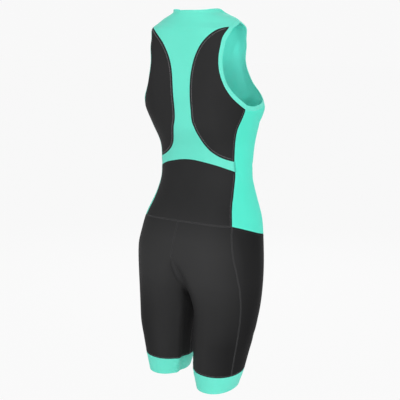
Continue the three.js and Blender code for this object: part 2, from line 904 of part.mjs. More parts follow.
const suit = new THREE.Group();
suit.name = "triathlon_suit";
const pieces = clothPieces();
const field = outwardField(pieces);
for (const piece of pieces) {
  const mesh = new THREE.Mesh(wallGeometry(piece, field), cloth(piece.color));
  mesh.name = piece.name;
  suit.add(mesh);
}
const metal = () => new THREE.MeshStandardMaterial({ color: METAL, roughness: 0.4, metalness: 0.6 });
const slider = new THREE.Mesh(sliderGeometry(wasm).applyMatrix4(sliderPlace()), metal());
slider.name = "zip_slider";
suit.add(slider);
const pullTab = new THREE.Mesh(pullGeometry().applyMatrix4(sliderPlace()), metal());
pullTab.name = "zip_pull";
suit.add(pullTab);

export default suit;
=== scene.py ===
import logging
import math
from dataclasses import dataclass, field
from enum import Enum

import bpy
import numpy as np
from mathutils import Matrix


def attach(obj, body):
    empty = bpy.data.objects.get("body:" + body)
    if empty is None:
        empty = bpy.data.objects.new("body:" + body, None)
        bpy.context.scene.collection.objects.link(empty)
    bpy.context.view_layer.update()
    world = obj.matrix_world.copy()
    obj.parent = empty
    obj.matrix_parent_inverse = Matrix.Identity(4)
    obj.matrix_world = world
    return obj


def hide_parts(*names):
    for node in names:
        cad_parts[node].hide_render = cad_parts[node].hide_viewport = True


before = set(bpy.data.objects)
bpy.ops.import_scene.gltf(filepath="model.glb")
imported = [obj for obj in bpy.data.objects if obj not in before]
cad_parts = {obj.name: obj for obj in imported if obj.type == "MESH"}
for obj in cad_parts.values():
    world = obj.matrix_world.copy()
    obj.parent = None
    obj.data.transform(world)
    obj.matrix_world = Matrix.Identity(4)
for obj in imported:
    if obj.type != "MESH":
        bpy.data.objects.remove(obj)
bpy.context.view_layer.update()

# A triathlon suit, filled out as if worn. The origin is between the wearer's shoulders, +Z is up, +X is
# the wearer's left and the front faces -Y. Tables and named sizes are in millimetres and degrees, and a
# mesh is turned into metres when it is made.

LOG = logging.getLogger("triathlon_suit")
MM = 0.001
TINY = 1e-9
SEAM_FINENESS = 24
SHARP_DEGREES = 42.0
LEFT = 1
RIGHT = -1
SIDES = (("left", LEFT), ("right", RIGHT))


def ease(share: np.ndarray) -> np.ndarray:
    """A soft step from 0 to 1: three times the square less twice the cube of the share."""
    k = np.clip(share, 0.0, 1.0)
    return k * k * (3.0 - 2.0 * k)


def length_of(vectors: np.ndarray) -> np.ndarray:
    """The vectors' lengths along the last axis, kept as an axis and never quite 0."""
    return np.maximum(np.linalg.norm(vectors, axis=-1, keepdims=True), TINY)


def length_along(points: np.ndarray) -> np.ndarray:
    """The length from a line's first point to each of its points."""
    return np.concatenate([[0.0], np.cumsum(np.linalg.norm(np.diff(points, axis=0), axis=1))])


def read_along(want: np.ndarray, length: np.ndarray, table: np.ndarray) -> np.ndarray:
    """The rows of a table at wanted lengths, read between those at its own."""
    return np.stack([np.interp(want, length, column) for column in table.T], -1)


def rows_at(rows: np.ndarray, level: np.ndarray) -> np.ndarray:
    """A table's columns at any levels.

    Cubic pieces run through the rows, each row's slope being that between its two neighbours, and past
    the last row the columns go on along its slope.

    Args:
        rows: the table, its first column the level, falling from row to row.
        level: levels of any shape.

    Returns:
        An array shaped like level, with one more axis for the table's other columns.
    """
    levels, columns = rows[:, 0], rows[:, 1:]
    slopes = np.empty_like(columns)
    slopes[1:-1] = (columns[2:] - columns[:-2]) / (levels[2:] - levels[:-2])[:, None]
    slopes[0] = (columns[1] - columns[0]) / (levels[1] - levels[0])
    slopes[-1] = (columns[-1] - columns[-2]) / (levels[-1] - levels[-2])
    at = np.clip(np.searchsorted(-levels, -np.asarray(level, float), side="right") - 1, 0, len(levels) - 2)
    step = (levels[at + 1] - levels[at])[..., None]
    raw = (np.asarray(level, float)[..., None] - levels[at][..., None]) / step
    t = np.clip(raw, 0.0, 1.0)
    value = (
        (2 * t**3 - 3 * t**2 + 1) * columns[at]
        + (t**3 - 2 * t**2 + t) * step * slopes[at]
        + (3 * t**2 - 2 * t**3) * columns[at + 1]
        + (t**3 - t**2) * step * slopes[at + 1]
    )
    past = np.where(raw > 1.0, slopes[at + 1], slopes[at])
    return value + (raw - t) * step * past


def oval(turn: np.ndarray, half: np.ndarray, depth: np.ndarray, fullness: np.ndarray) -> tuple:
    """A full oval: the sine and cosine of the turn times a radius.

    The radius is the sum of |sine / half| and |cosine / depth|, each to the power of the fullness, to
    the power of minus one over the fullness. A fullness of 2 is an ellipse, and more is squarer.

    Args:
        turn: the angle from the back, in radians.
        half: half the width.
        depth: half the depth.
        fullness: the power.

    Returns:
        The sideways and the backward coordinate.
    """
    s, c = np.sin(turn), np.cos(turn)
    radius = (np.abs(s / half) ** fullness + np.abs(c / depth) ** fullness) ** (-1.0 / fullness)
    return radius * s, radius * c


class Patch(Enum):
    """Which part of the worn form a place lies on."""

    BODY = "body"
    LEG = "leg"


@dataclass(frozen=True)
class WornForm:
    """The form that fills the suit: a torso of full ovals that runs into two legs at the crotch."""

    # level, half width, back, front, fullness
    torso: tuple = (
        (10, 38, 52, -50, 2.2),
        (0, 52, 55, -53, 2.2),
        (-8, 55.5, 56, -66, 2.15),
        (-20, 84, 59, -74, 1.95),
        (-32, 100.5, 63.5, -76, 2.1),
        (-45, 104.5, 68, -73, 3.3),
        (-75, 108.5, 71.5, -74, 4.3),
        (-115, 108, 73, -78, 4.2),
        (-158, 113, 75, -98, 4.3),
        (-180, 125.5, 74.5, -110, 3.4),
        (-198, 135.5, 72.5, -118, 2.7),
        (-217, 138.5, 69.5, -125, 2.5),
        (-255, 126, 65, -128, 2.2),
        (-300, 112.5, 45.5, -127, 2.2),
        (-345, 110, 41, -119, 2.2),
        (-380, 110.5, 46, -121, 2.2),
        (-420, 122, 61.5, -127, 2.2),
        (-465, 140, 85, -129, 2.2),
        (-500, 147.5, 99, -128, 2.2),
        (-540, 153, 109, -125, 2.2),
        (-580, 153, 102, -126, 2.2),
    )
    # level, inner side, outer side, back, front of the left leg
    leg_cuts: tuple = (
        (-690, 8.5, 150.5, 79, -77),
        (-730, 14, 147, 82, -66),
        (-770, 19, 140, 82, -56),
        (-815, 23, 133, 79.5, -42),
        (-850, 34.5, 121.5, 79.5, -36.5),
    )
    join: float = -540.0
    crotch_level: float = -645.0
    crotch_power: float = 1.35
    leg_top: float = -690.0
    arch: float = 36.0
    fan: float = 24.0
    leg_corner: float = 45.0
    leg_fullness: float = 2.15
    corner_share: float = 0.62
    twist: float = -4.0
    twist_from: float = -330.0
    twist_to: float = -540.0
    stride: float = 13.5
    stride_from: float = -650.0
    stride_to: float = -850.0
    curl_depth: float = 8.0
    curl_back: tuple = (47.0, 62.0)
    curl_front: tuple = (142.0, 118.0)
    curl_top: tuple = (-36.0, -70.0)
    curl_bottom: tuple = (-200.0, -150.0)
    turn_step: float = 0.4
    level_step: float = 0.6

    def curl(self, turn: np.ndarray, level: np.ndarray) -> np.ndarray:
        """How far the cloth turns in towards an armhole: its depth times four soft steps.

        Args:
            turn: degrees from the centre back, of either sign.
            level: height.

        Returns:
            The depths.
        """
        steps = [ease((np.abs(turn) - a) / (b - a)) for a, b in (self.curl_back, self.curl_front)]
        steps += [ease((level - a) / (b - a)) for a, b in (self.curl_top, self.curl_bottom)]
        return self.curl_depth * np.prod(steps, axis=0)

    def torso_point(self, turn: np.ndarray, level: np.ndarray) -> np.ndarray:
        """A point of the torso: a full oval at the level, less the curl towards the armholes.

        Args:
            turn: degrees from the centre back towards the wearer's left.
            level: height.

        Returns:
            Points with x, y and z last.
        """
        turn, level = np.broadcast_arrays(np.asarray(turn, float), np.asarray(level, float))
        cut = rows_at(np.array(self.torso, float), level)
        half, back, front, fullness = np.moveaxis(cut, -1, 0)
        x, y = oval(np.radians(turn), half, (back - front) / 2, fullness)
        share = 1.0 - self.curl(turn, level) / np.hypot(x, y)
        return np.stack([x * share, y * share + (back + front) / 2, level], -1)

    def crotch_point(self, along: np.ndarray) -> np.ndarray:
        """The crotch seam: half a turn in depth, which drops by a power of the sine of that turn.

        Args:
            along: 0 at the centre back and 1 at the centre front.

        Returns:
            Points with x, y and z last.
        """
        back, front = rows_at(np.array(self.torso, float), np.array(self.join))[1:3]
        angle = math.pi * np.asarray(along, float)
        drop = (self.join - self.crotch_level) * np.abs(np.sin(angle)) ** self.crotch_power
        y = (back + front) / 2 + (back - front) / 2 * np.cos(angle)
        return np.stack([np.zeros_like(angle), y, self.join - drop], -1)

    def leg_ring(self, turn: np.ndarray, level: np.ndarray) -> np.ndarray:
        """The left leg's own oval, where turns 0 to 180 spread over its outer three quarters.

        Args:
            turn: 0 to 180 round the outside and 180 to 360 back along the inside.
            level: height.

        Returns:
            Points with x, y and z last.
        """
        outside = 180.0 + 2.0 * self.leg_corner
        outer = -self.leg_corner + outside / 180.0 * turn
        inner = 180.0 + self.leg_corner + (360.0 - outside) / 180.0 * (turn - 180.0)
        angle = np.radians(np.where(turn <= 180.0, outer, inner))
        near, far, back, front = np.moveaxis(rows_at(np.array(self.leg_cuts, float), level), -1, 0)
        x, y = oval(angle, (far - near) / 2, (back - front) / 2, self.leg_fullness)
        return np.stack([x + (far + near) / 2, y + (back + front) / 2, level], -1)

    def leg_point(self, turn: np.ndarray, level: np.ndarray) -> np.ndarray:
        """A point of the left leg below the join.

        A cubic curve leads each turn from the torso's cut or the crotch seam, where it starts down the
        torso or sideways across the crotch, into the leg's own ovals.

        Args:
            turn: as for leg_ring.
            level: height.

        Returns:
            Points with x, y and z last.
        """
        turn, level = np.broadcast_arrays(np.asarray(turn, float) % 360.0, np.asarray(level, float))
        outside = turn <= 180.0
        around = np.where(outside, turn, 0.0)
        join = np.full(turn.shape, self.join)
        inner_top = self.crotch_point(np.where(outside, 0.0, (360.0 - turn) / 180.0))
        top = np.where(outside[..., None], self.torso_point(around, join), inner_top)
        span = self.join - self.leg_top
        down = (self.torso_point(around, join - 1) - self.torso_point(around, join + 1)) * span / 2
        arch = np.full(turn.shape, self.arch)
        across = np.stack([arch, 0 * turn, 0 * turn], -1)
        corner = self.corner_share * np.stack([arch, 0 * turn, -arch], -1)
        from_corner = np.where(outside, np.minimum(turn, 180 - turn), np.minimum(360 - turn, turn - 180))
        k = ease(from_corner / self.fan)[..., None]
        start = corner * (1 - k) + np.where(outside[..., None], down, across) * k
        low = np.full(turn.shape, self.leg_top)
        end = self.leg_ring(turn, low)
        stop = (self.leg_ring(turn, low - 1) - end) * (top[..., 2:] - self.leg_top)
        t = np.clip((self.join - level) / span, 0.0, 1.0)[..., None]
        bridge = (
            (2 * t**3 - 3 * t**2 + 1) * top
            + (t**3 - 2 * t**2 + t) * start
            + (3 * t**2 - 2 * t**3) * end
            + (t**3 - t**2) * stop
        )
        ring = self.leg_ring(turn, np.minimum(level, self.leg_top))
        return np.where((level <= self.leg_top)[..., None], ring, bridge)

    def stand(self, points: np.ndarray, side: int) -> np.ndarray:
        """Mirrors points to a side, sets the legs a half step apart and turns the hips a little.

        Args:
            points: points of the left half.
            side: LEFT or RIGHT.

        Returns:
            The points in the stance.
        """
        z = points[..., 2]
        x = side * points[..., 0]
        stride = self.stride * ease((self.stride_from - z) / (self.stride_from - self.stride_to))
        y = points[..., 1] - side * stride
        angle = math.radians(self.twist) * ease((self.twist_from - z) / (self.twist_from - self.twist_to))
        return np.stack([x * np.cos(angle) - y * np.sin(angle), x * np.sin(angle) + y * np.cos(angle), z], -1)

    def point(self, patch: Patch, places: np.ndarray, side: int) -> np.ndarray:
        """Points of the worn form at places, which hold a turn and a level.

        Args:
            patch: the part of the form.
            places: an array with turn and level last.
            side: LEFT or RIGHT.

        Returns:
            Points with x, y and z last.
        """
        raw = self.leg_point if patch is Patch.LEG else self.torso_point
        return self.stand(raw(places[..., 0], places[..., 1]), side)

    def slopes(self, patch: Patch, places: np.ndarray, side: int) -> tuple:
        """How the form runs at places, by small differences in the turn and in the level.

        Args:
            patch: the part of the form.
            places: an array with turn and level last.
            side: LEFT or RIGHT.

        Returns:
            The change for one degree, the change for one millimetre of level and the outward unit normal.
        """
        turn_step, level_step = np.array([self.turn_step, 0.0]), np.array([0.0, self.level_step])
        by_turn = self.point(patch, places + turn_step, side) - self.point(patch, places - turn_step, side)
        by_level = self.point(patch, places + level_step, side) - self.point(patch, places - level_step, side)
        normal = side * np.cross(by_level, by_turn)
        normal /= length_of(normal)
        return by_turn / (2 * self.turn_step), by_level / (2 * self.level_step), normal


@dataclass(frozen=True)
class CutLines:
    """The left half's seams and edges, as rows of places: the turn from the centre back and the level."""

    neck_back: tuple = ((0, -3.4), (25, -3.6), (45, -2.6), (62, -0.8), (80, 0.3), (95, 0))
    neck_front: tuple = (
        (95, 0), (104, -2.7), (115, -6.3), (128, -13), (138, -22), (145, -32), (151, -43),
        (157, -54), (164, -62), (171, -66.3), (175, -67.5),
    )
    shoulder: tuple = ((95, 0), (95, -8), (95, -16), (95, -24))
    armhole_top: tuple = ((95, -24), (87.5, -25), (78, -30), (67.5, -38.5))
    armhole_back: tuple = (
        (67.5, -38.5), (59, -59), (54.2, -86.5), (52.8, -107), (52, -129), (52.6, -148), (55, -169),
        (58.6, -186.5), (64.5, -202), (69.5, -212.5),
    )
    armhole_under: tuple = ((69.5, -212.5), (75, -215.8), (81, -217.2), (88, -216.2))
    armhole_front: tuple = (
        (88, -216.2), (97, -213), (106, -207), (113, -199.5), (118, -190), (122.5, -178), (128, -163),
        (131, -148), (131.5, -130), (129.5, -110), (127, -90), (122.5, -68), (116.5, -48), (109, -35),
        (101.5, -27), (95, -24),
    )
    yoke_edge: tuple = (
        (67.5, -38.5), (58, -41), (49.5, -47), (41, -58.5), (33, -73.5), (26.8, -90), (21.2, -110),
        (16.8, -132), (14.2, -155), (12.5, -183), (11.8, -212), (12.3, -236), (15, -252), (18.5, -269),
        (24, -288), (32, -304.5), (41, -315.5), (52, -324.5), (64.5, -331),
    )
    side_upper: tuple = ((69.5, -212.5), (67, -239), (64.5, -262), (63.6, -289), (63.8, -309), (64.5, -331))
    side_flare: tuple = ((64.5, -331), (65.7, -343), (66.8, -354))
    side_lower: tuple = ((66.8, -354), (66.3, -374), (63.2, -404), (61.2, -423), (60.4, -442), (60.5, -467))
    side_hip: tuple = ((60.5, -467), (60.3, -485), (61.5, -512), (63.5, -540))
    side_leg: tuple = (
        (63.5, -540), (65.3, -564), (67, -604), (67, -640), (66.5, -676), (67, -723), (68, -761),
        (70, -810), (71, -850),
    )
    waist_arch: tuple = ((0, -327.5), (13, -328.8), (28, -332.8), (42.5, -338.5), (55, -345.8), (66.8, -354))
    hip_back: tuple = ((0, -460.5), (24, -461.2), (40.5, -463.8), (54.5, -466.2), (60.5, -467))
    hip_front: tuple = (
        (60.5, -467), (68.5, -472), (79.5, -480.5), (96, -493.5), (115, -504.5), (140, -514),
        (160, -519), (177.5, -521),
    )
    chest: tuple = ((88, -216.2), (110, -222), (140, -224), (177.5, -224))
    spine_at_flare: float = -321.0
    band_top: float = -810.0
    hem: float = -850.0
    zip_half: float = 6.0
    zip_first_turn: float = 178.0
    zip_rounds: int = 20
    inseam: float = 270.0

    def zip_edge(self, form: WornForm, level: np.ndarray) -> np.ndarray:
        """The places where the zip's edge lies, found by drawing the turn in until its x is right.

        Args:
            form: the worn form.
            level: heights.

        Returns:
            Places with turn and level last.
        """
        level = np.asarray(level, float)
        turn = np.full(level.shape, self.zip_first_turn)
        for _ in range(self.zip_rounds):
            x = form.torso_point(turn, level)[..., 0]
            turn = 180.0 - (180.0 - turn) * self.zip_half / x
        return np.stack([turn, level], -1)

    def to_zip(self, form: WornForm, rows: tuple) -> tuple:
        """A seam's rows with the last moved onto the zip's edge."""
        end = self.zip_edge(form, np.array(float(rows[-1][1])))
        return rows[:-1] + ((float(end[0]), float(end[1])),)


def stations(steps: int, start: bool = False, end: bool = False, near: float = 0.25) -> np.ndarray:
    """Shares from 0 to 1 in equal steps, with one more close to either end where a seam is drawn fine.

    Args:
        steps: how many equal steps.
        start: whether one more lies close to 0.
        end: whether one more lies close to 1.
        near: how much of a step the extra one is from its end.

    Returns:
        The rising shares.
    """
    shares = np.linspace(0.0, 1.0, steps + 1)
    extra = ([near / steps] if start else []) + ([1.0 - near / steps] if end else [])
    return np.sort(np.concatenate([shares, extra]))


def along_seam(form: WornForm, rows: tuple, shares: np.ndarray) -> np.ndarray:
    """Places along a seam.

    Cubic pieces run through the seam's rows, each slope half the way between the neighbours, and the
    shares are measured by length on the form.

    Args:
        form: the worn form.
        rows: the seam's rows.
        shares: shares of the length.

    Returns:
        Places with turn and level last.
    """
    table = np.array(rows, float)
    padded = np.vstack([2 * table[0] - table[1], table, 2 * table[-1] - table[-2]])
    u = np.linspace(0.0, len(table) - 1.0, (len(table) - 1) * SEAM_FINENESS + 1)
    i = np.minimum(u.astype(int), len(table) - 2)
    t = (u - i)[:, None]
    p0, p1, p2, p3 = padded[i], padded[i + 1], padded[i + 2], padded[i + 3]
    fine = p1 + 0.5 * t * (p2 - p0 + t * (2 * p0 - 5 * p1 + 4 * p2 - p3 + t * (3 * (p1 - p2) + p3 - p0)))
    length = length_along(form.torso_point(fine[:, 0], fine[:, 1]))
    return read_along(np.asarray(shares) * length[-1], length, fine)


def straight(start: np.ndarray, end: np.ndarray, shares: np.ndarray) -> np.ndarray:
    """Places on the straight line between two places, at the given shares of it."""
    return np.asarray(start)[None] + (np.asarray(end) - np.asarray(start))[None] * np.asarray(shares)[:, None]


def joined(*lines: np.ndarray) -> np.ndarray:
    """Lines of places that follow each other as one, each shared end kept once."""
    return np.concatenate([lines[0]] + [line[1:] for line in lines[1:]])


def filled(top: np.ndarray, bottom: np.ndarray, left: np.ndarray, right: np.ndarray,
           across: np.ndarray, down: np.ndarray, fade: float = 1.0) -> np.ndarray:
    """A grid of places that fills four edges.

    Each place lies straight between the left and the right edge, plus what the top and the bottom edge
    stand off their own chords, weighted by how near they are to the power of the fade.

    Args:
        top: the upper edge.
        bottom: the lower edge, running the same way.
        left: the edge at the start of the upper one, running down.
        right: the edge at its end, running down.
        across: shares along the upper edge.
        down: shares along the left edge.
        fade: how fast the bends of the upper and the lower edge fade.

    Returns:
        The grid: rows run down, and columns across.
    """
    u, v = across[None, :, None], down[:, None, None]
    chord_top = top[0] + (top[-1] - top[0]) * u
    chord_bottom = bottom[0] + (bottom[-1] - bottom[0]) * u
    plain = left[:, None] + (right - left)[:, None] * u
    return plain + (top[None] - chord_top) * (1 - v) ** fade + (bottom[None] - chord_bottom) * v**fade


def beside(form: WornForm, patch: Patch, places: np.ndarray, distance: float,
           closed: bool = False) -> np.ndarray:
    """Places a distance to the side of a line on the form, towards the front where the line runs down.

    The step to the side is square to the line in the form's own surface, and it is turned into turns and
    levels by solving two equations at each place.

    Args:
        form: the worn form.
        patch: the part of the form.
        places: the line.
        distance: how far, in millimetres.
        closed: whether the line's ends meet.

    Returns:
        The line's places, moved.
    """
    by_turn, by_level, normal = form.slopes(patch, places, LEFT)
    points = form.point(patch, places, LEFT)
    tangent = np.roll(points, -1, 0) - np.roll(points, 1, 0) if closed else np.gradient(points, axis=0)
    way = np.cross(tangent, normal)
    way *= distance / length_of(way)
    aa, ab, bb = (by_turn * by_turn).sum(-1), (by_turn * by_level).sum(-1), (by_level * by_level).sum(-1)
    at, bt = (by_turn * way).sum(-1), (by_level * way).sum(-1)
    det = aa * bb - ab * ab
    return places + np.stack([(bb * at - ab * bt) / det, (aa * bt - ab * at) / det], -1)


@dataclass(frozen=True)
class Crease:
    """A soft fold laid on the form: a ridge where its depth is above 0, or else a trough."""

    patch: Patch
    side: int
    start: tuple
    middle: tuple
    end: tuple
    width: float
    depth: float
    points: int = 28
    reach: float = 4.0
    taper: float = 0.35

    def height(self, form: WornForm, points: np.ndarray, side: np.ndarray) -> np.ndarray:
        """How far the fold lifts the cloth.

        The fold's line is the bent curve through its three places. The height is the depth times a bell
        of the distance to that line over the width, times a soft fade towards both of the line's ends.

        Args:
            form: the worn form.
            points: points of the cloth.
            side: LEFT or RIGHT for each point, or 0 on the centre line.

        Returns:
            A height for each point.
        """
        t = np.linspace(0.0, 1.0, self.points)[:, None]
        a, b, c = (np.array(p, float) for p in (self.start, self.middle, self.end))
        places = a * (1 - t) * (1 - 2 * t) + b * 4 * t * (1 - t) + c * t * (2 * t - 1)
        line = form.point(self.patch, places, self.side)
        around = np.abs(line - line.mean(0)).max() + self.reach * self.width
        near = np.abs(points - line.mean(0)).max(1) < around
        near &= side * self.side >= 0
        out = np.zeros(len(points))
        gap = np.linalg.norm(points[near][:, None] - line[None], axis=2)
        closest = gap.argmin(1)
        share = closest / (self.points - 1.0)
        fade = ease(share / self.taper) * ease((1 - share) / self.taper)
        out[near] = self.depth * fade * np.exp(-((gap.min(1) / self.width) ** 2))
        return out


@dataclass(frozen=True)
class Drape:
    """The worn form with its creases: where the cloth really lies."""

    form: WornForm
    creases: tuple

    def lift(self, points: np.ndarray, side: np.ndarray) -> np.ndarray:
        """The sum of all creases' heights at points."""
        return sum((crease.height(self.form, points, side) for crease in self.creases), np.zeros(len(points)))

    def line(self, patch: Patch, places: np.ndarray, side: int) -> tuple:
        """A line on the cloth.

        Args:
            patch: the part of the form.
            places: the line's places.
            side: LEFT or RIGHT.

        Returns:
            Its points with the creases' heights added, and the outward normals.
        """
        points = self.form.point(patch, places, side)
        normal = self.form.slopes(patch, places, side)[2]
        lift = self.lift(points, np.full(len(points), side))
        return points + normal * lift[:, None], normal


def new_mesh(name: str, points: np.ndarray, faces: list,
             corner_uv: np.ndarray | None = None) -> bpy.types.Object:
    """Makes a mesh object at the origin, shaded smoothly between sharp edges.

    Args:
        name: the object's name.
        points: vertices in millimetres.
        faces: lists of vertex numbers.
        corner_uv: a pair of numbers for each face corner, in order, or None.

    Returns:
        The object, linked to the scene.
    """
    mesh = bpy.data.meshes.new(name)
    mesh.from_pydata((np.asarray(points, float) * MM).tolist(), [], faces)
    if corner_uv is not None:
        layer = mesh.uv_layers.new(name="cloth")
        layer.data.foreach_set("uv", np.asarray(corner_uv, np.float32).ravel())
    mesh.polygons.foreach_set("use_smooth", np.full(len(mesh.polygons), True))
    mesh.validate()
    mesh.update()
    mesh.set_sharp_from_angle(angle=math.radians(SHARP_DEGREES))
    obj = bpy.data.objects.new(name, mesh)
    bpy.context.scene.collection.objects.link(obj)
    return obj


@dataclass
class SewnPiece:
    """One cut piece of cloth: grids of the drape, closed into a shell of small thickness with its edges
    turned in.
    """

    name: str
    thickness: float
    edge_drop: float = 0.35
    edge_draw: float = 0.08
    welds_per_mm: float = 100.0
    grids: list = field(default_factory=list)

    def add(self, patch: Patch, places: np.ndarray, side: int) -> None:
        """Adds a grid: rows run down and columns run from the centre back to the centre front."""
        self.grids.append((patch, places, side))

    def _gather(self, form: WornForm) -> tuple:
        """Lays all grids out as one welded sheet.

        The two numbers of a corner are the length along its row and the mean length down its column.

        Args:
            form: the worn form.

        Returns:
            Points, unit normals, sides, faces of four vertex numbers, and four pairs of numbers a face.
        """
        points, normals, sides, faces, pairs = [], [], [], [], []
        count = 0
        for patch, places, side in self.grids:
            at = form.point(patch, places, side)
            rows, columns = places.shape[:2]
            run = np.zeros((rows, columns))
            run[:, 1:] = np.cumsum(np.linalg.norm(np.diff(at, axis=1), axis=2), axis=1)
            fall = np.zeros(rows)
            fall[1:] = np.cumsum(np.linalg.norm(np.diff(at, axis=0), axis=2).mean(1))
            uv = np.stack([run, np.broadcast_to(-fall[:, None], run.shape)], -1) * MM
            number = count + np.arange(rows * columns).reshape(rows, columns)
            loops = [number[:-1, :-1], number[:-1, 1:], number[1:, 1:], number[1:, :-1]]
            spots = [uv[:-1, :-1], uv[:-1, 1:], uv[1:, 1:], uv[1:, :-1]]
            if side == LEFT:
                loops, spots = loops[::-1], spots[::-1]
            faces.append(np.stack(loops, -1).reshape(-1, 4))
            pairs.append(np.stack(spots, -2).reshape(-1, 4, 2))
            points.append(at.reshape(-1, 3))
            normals.append(form.slopes(patch, places, side)[2].reshape(-1, 3))
            sides.append(np.full(rows * columns, side))
            count += rows * columns
        stacked = np.concatenate(points)
        keys = np.round(stacked * self.welds_per_mm).astype(np.int64)
        _, first, inverse = np.unique(keys, axis=0, return_index=True, return_inverse=True)
        inverse = inverse.reshape(-1)
        total = np.zeros((len(first), 3))
        np.add.at(total, inverse, np.concatenate(normals))
        total /= length_of(total)
        side_sum = np.zeros(len(first))
        side_count = np.zeros(len(first))
        np.add.at(side_sum, inverse, np.concatenate(sides))
        np.add.at(side_count, inverse, 1)
        side_mean = np.where(np.abs(side_sum) == side_count, np.sign(side_sum), 0)
        return stacked[first], total, side_mean, inverse[np.concatenate(faces)], np.concatenate(pairs)

    def build(self, drape: Drape) -> bpy.types.Object:
        """Closes the sheet into a shell.

        The outer face is the form plus the creases' heights, dropped and drawn in a little at the rim.
        The inner face is the outer one less the thickness along the normal, and a strip joins them.

        Args:
            drape: the form with its creases.

        Returns:
            The piece's object.
        """
        points, normals, sides, loops, pairs = self._gather(drape.form)
        own = loops != np.roll(loops, 1, axis=1)
        whole = own.sum(1) > 2
        kept = [(loop[keep], pair[keep]) for loop, pair, keep in zip(loops[whole], pairs[whole], own[whole])]
        faces = [loop for loop, _ in kept]
        edges = np.concatenate([np.stack([loop, np.roll(loop, -1)], -1) for loop in faces])
        n = len(points)
        rim = edges[~np.isin(edges[:, 1] * n + edges[:, 0], edges[:, 0] * n + edges[:, 1])]
        start, end = rim.T
        inward = np.zeros_like(points)
        along = points[end] - points[start]
        for tip in (start, end):
            way = np.cross(normals[tip], along)
            np.add.at(inward, tip, way / length_of(way))
        inward /= length_of(inward)
        at_rim = np.zeros(n)
        at_rim[rim.ravel()] = 1.0
        height = drape.lift(points, sides) - self.edge_drop * at_rim
        outer = points + normals * height[:, None] + inward * self.edge_draw
        inner = outer - normals * self.thickness
        strip = np.stack([end, start, n + start, n + end], -1).tolist()
        all_faces = [loop.tolist() for loop in faces] + [(n + loop[::-1]).tolist() for loop in faces] + strip
        spot = np.zeros((n, 2))
        spot[np.concatenate(faces)] = np.concatenate([pair for _, pair in kept])
        strip_uv = spot[np.stack([end, start, start, end], -1)].reshape(-1, 2)
        corner_uv = np.concatenate([pair for _, pair in kept] + [pair[::-1] for _, pair in kept] + [strip_uv])
        obj = new_mesh(self.name, np.concatenate([outer, inner]), all_faces, corner_uv)
        obj["inner_faces"] = [len(faces), 2 * len(faces)]
        return obj


class StitchKind(Enum):
    """How a seam is sewn."""

    NEEDLE = "one row of straight stitches"
    TWIN = "two rows of straight stitches"
    FLATLOCK = "two rows with threads crossing between them"


@dataclass(frozen=True)
class Thread:
    """A sewing thread and its stitch, all in millimetres."""

    radius: float = 0.26
    pitch: float = 2.5
    length: float = 2.15
    lift: float = 0.22
    sink: float = 0.3
    tip: float = 0.45
    round_power: float = 0.5
    rise_power: float = 0.6
    rings: int = 5
    sides: int = 5

    def template(self, length: float) -> tuple:
        """One stitch: a tube whose middle bows up in half a sine and whose ends dip into the cloth.

        Args:
            length: the stitch's length.

        Returns:
            Its points along, across and up, its faces of four corners, and its two end faces.
        """
        t = np.linspace(0.0, 1.0, self.rings)[:, None]
        turn = np.linspace(0.0, 2 * math.pi, self.sides, endpoint=False)[None]
        bow = np.sin(math.pi * t)
        size = self.radius * (self.tip + (1 - self.tip) * bow**self.round_power)
        rise = (self.lift + self.sink) * bow**self.rise_power - self.sink
        along = np.broadcast_to((t - 0.5) * length, (self.rings, self.sides))
        points = np.stack([along, size * np.cos(turn), rise + size * np.sin(turn)], -1).reshape(-1, 3)
        number = np.arange(self.rings * self.sides).reshape(self.rings, self.sides)
        ahead = np.roll(number, -1, axis=1)
        faces = np.stack([number[:-1], ahead[:-1], ahead[1:], number[1:]], -1).reshape(-1, 4).tolist()
        return points, faces, [number[0, ::-1].tolist(), number[-1].tolist()]


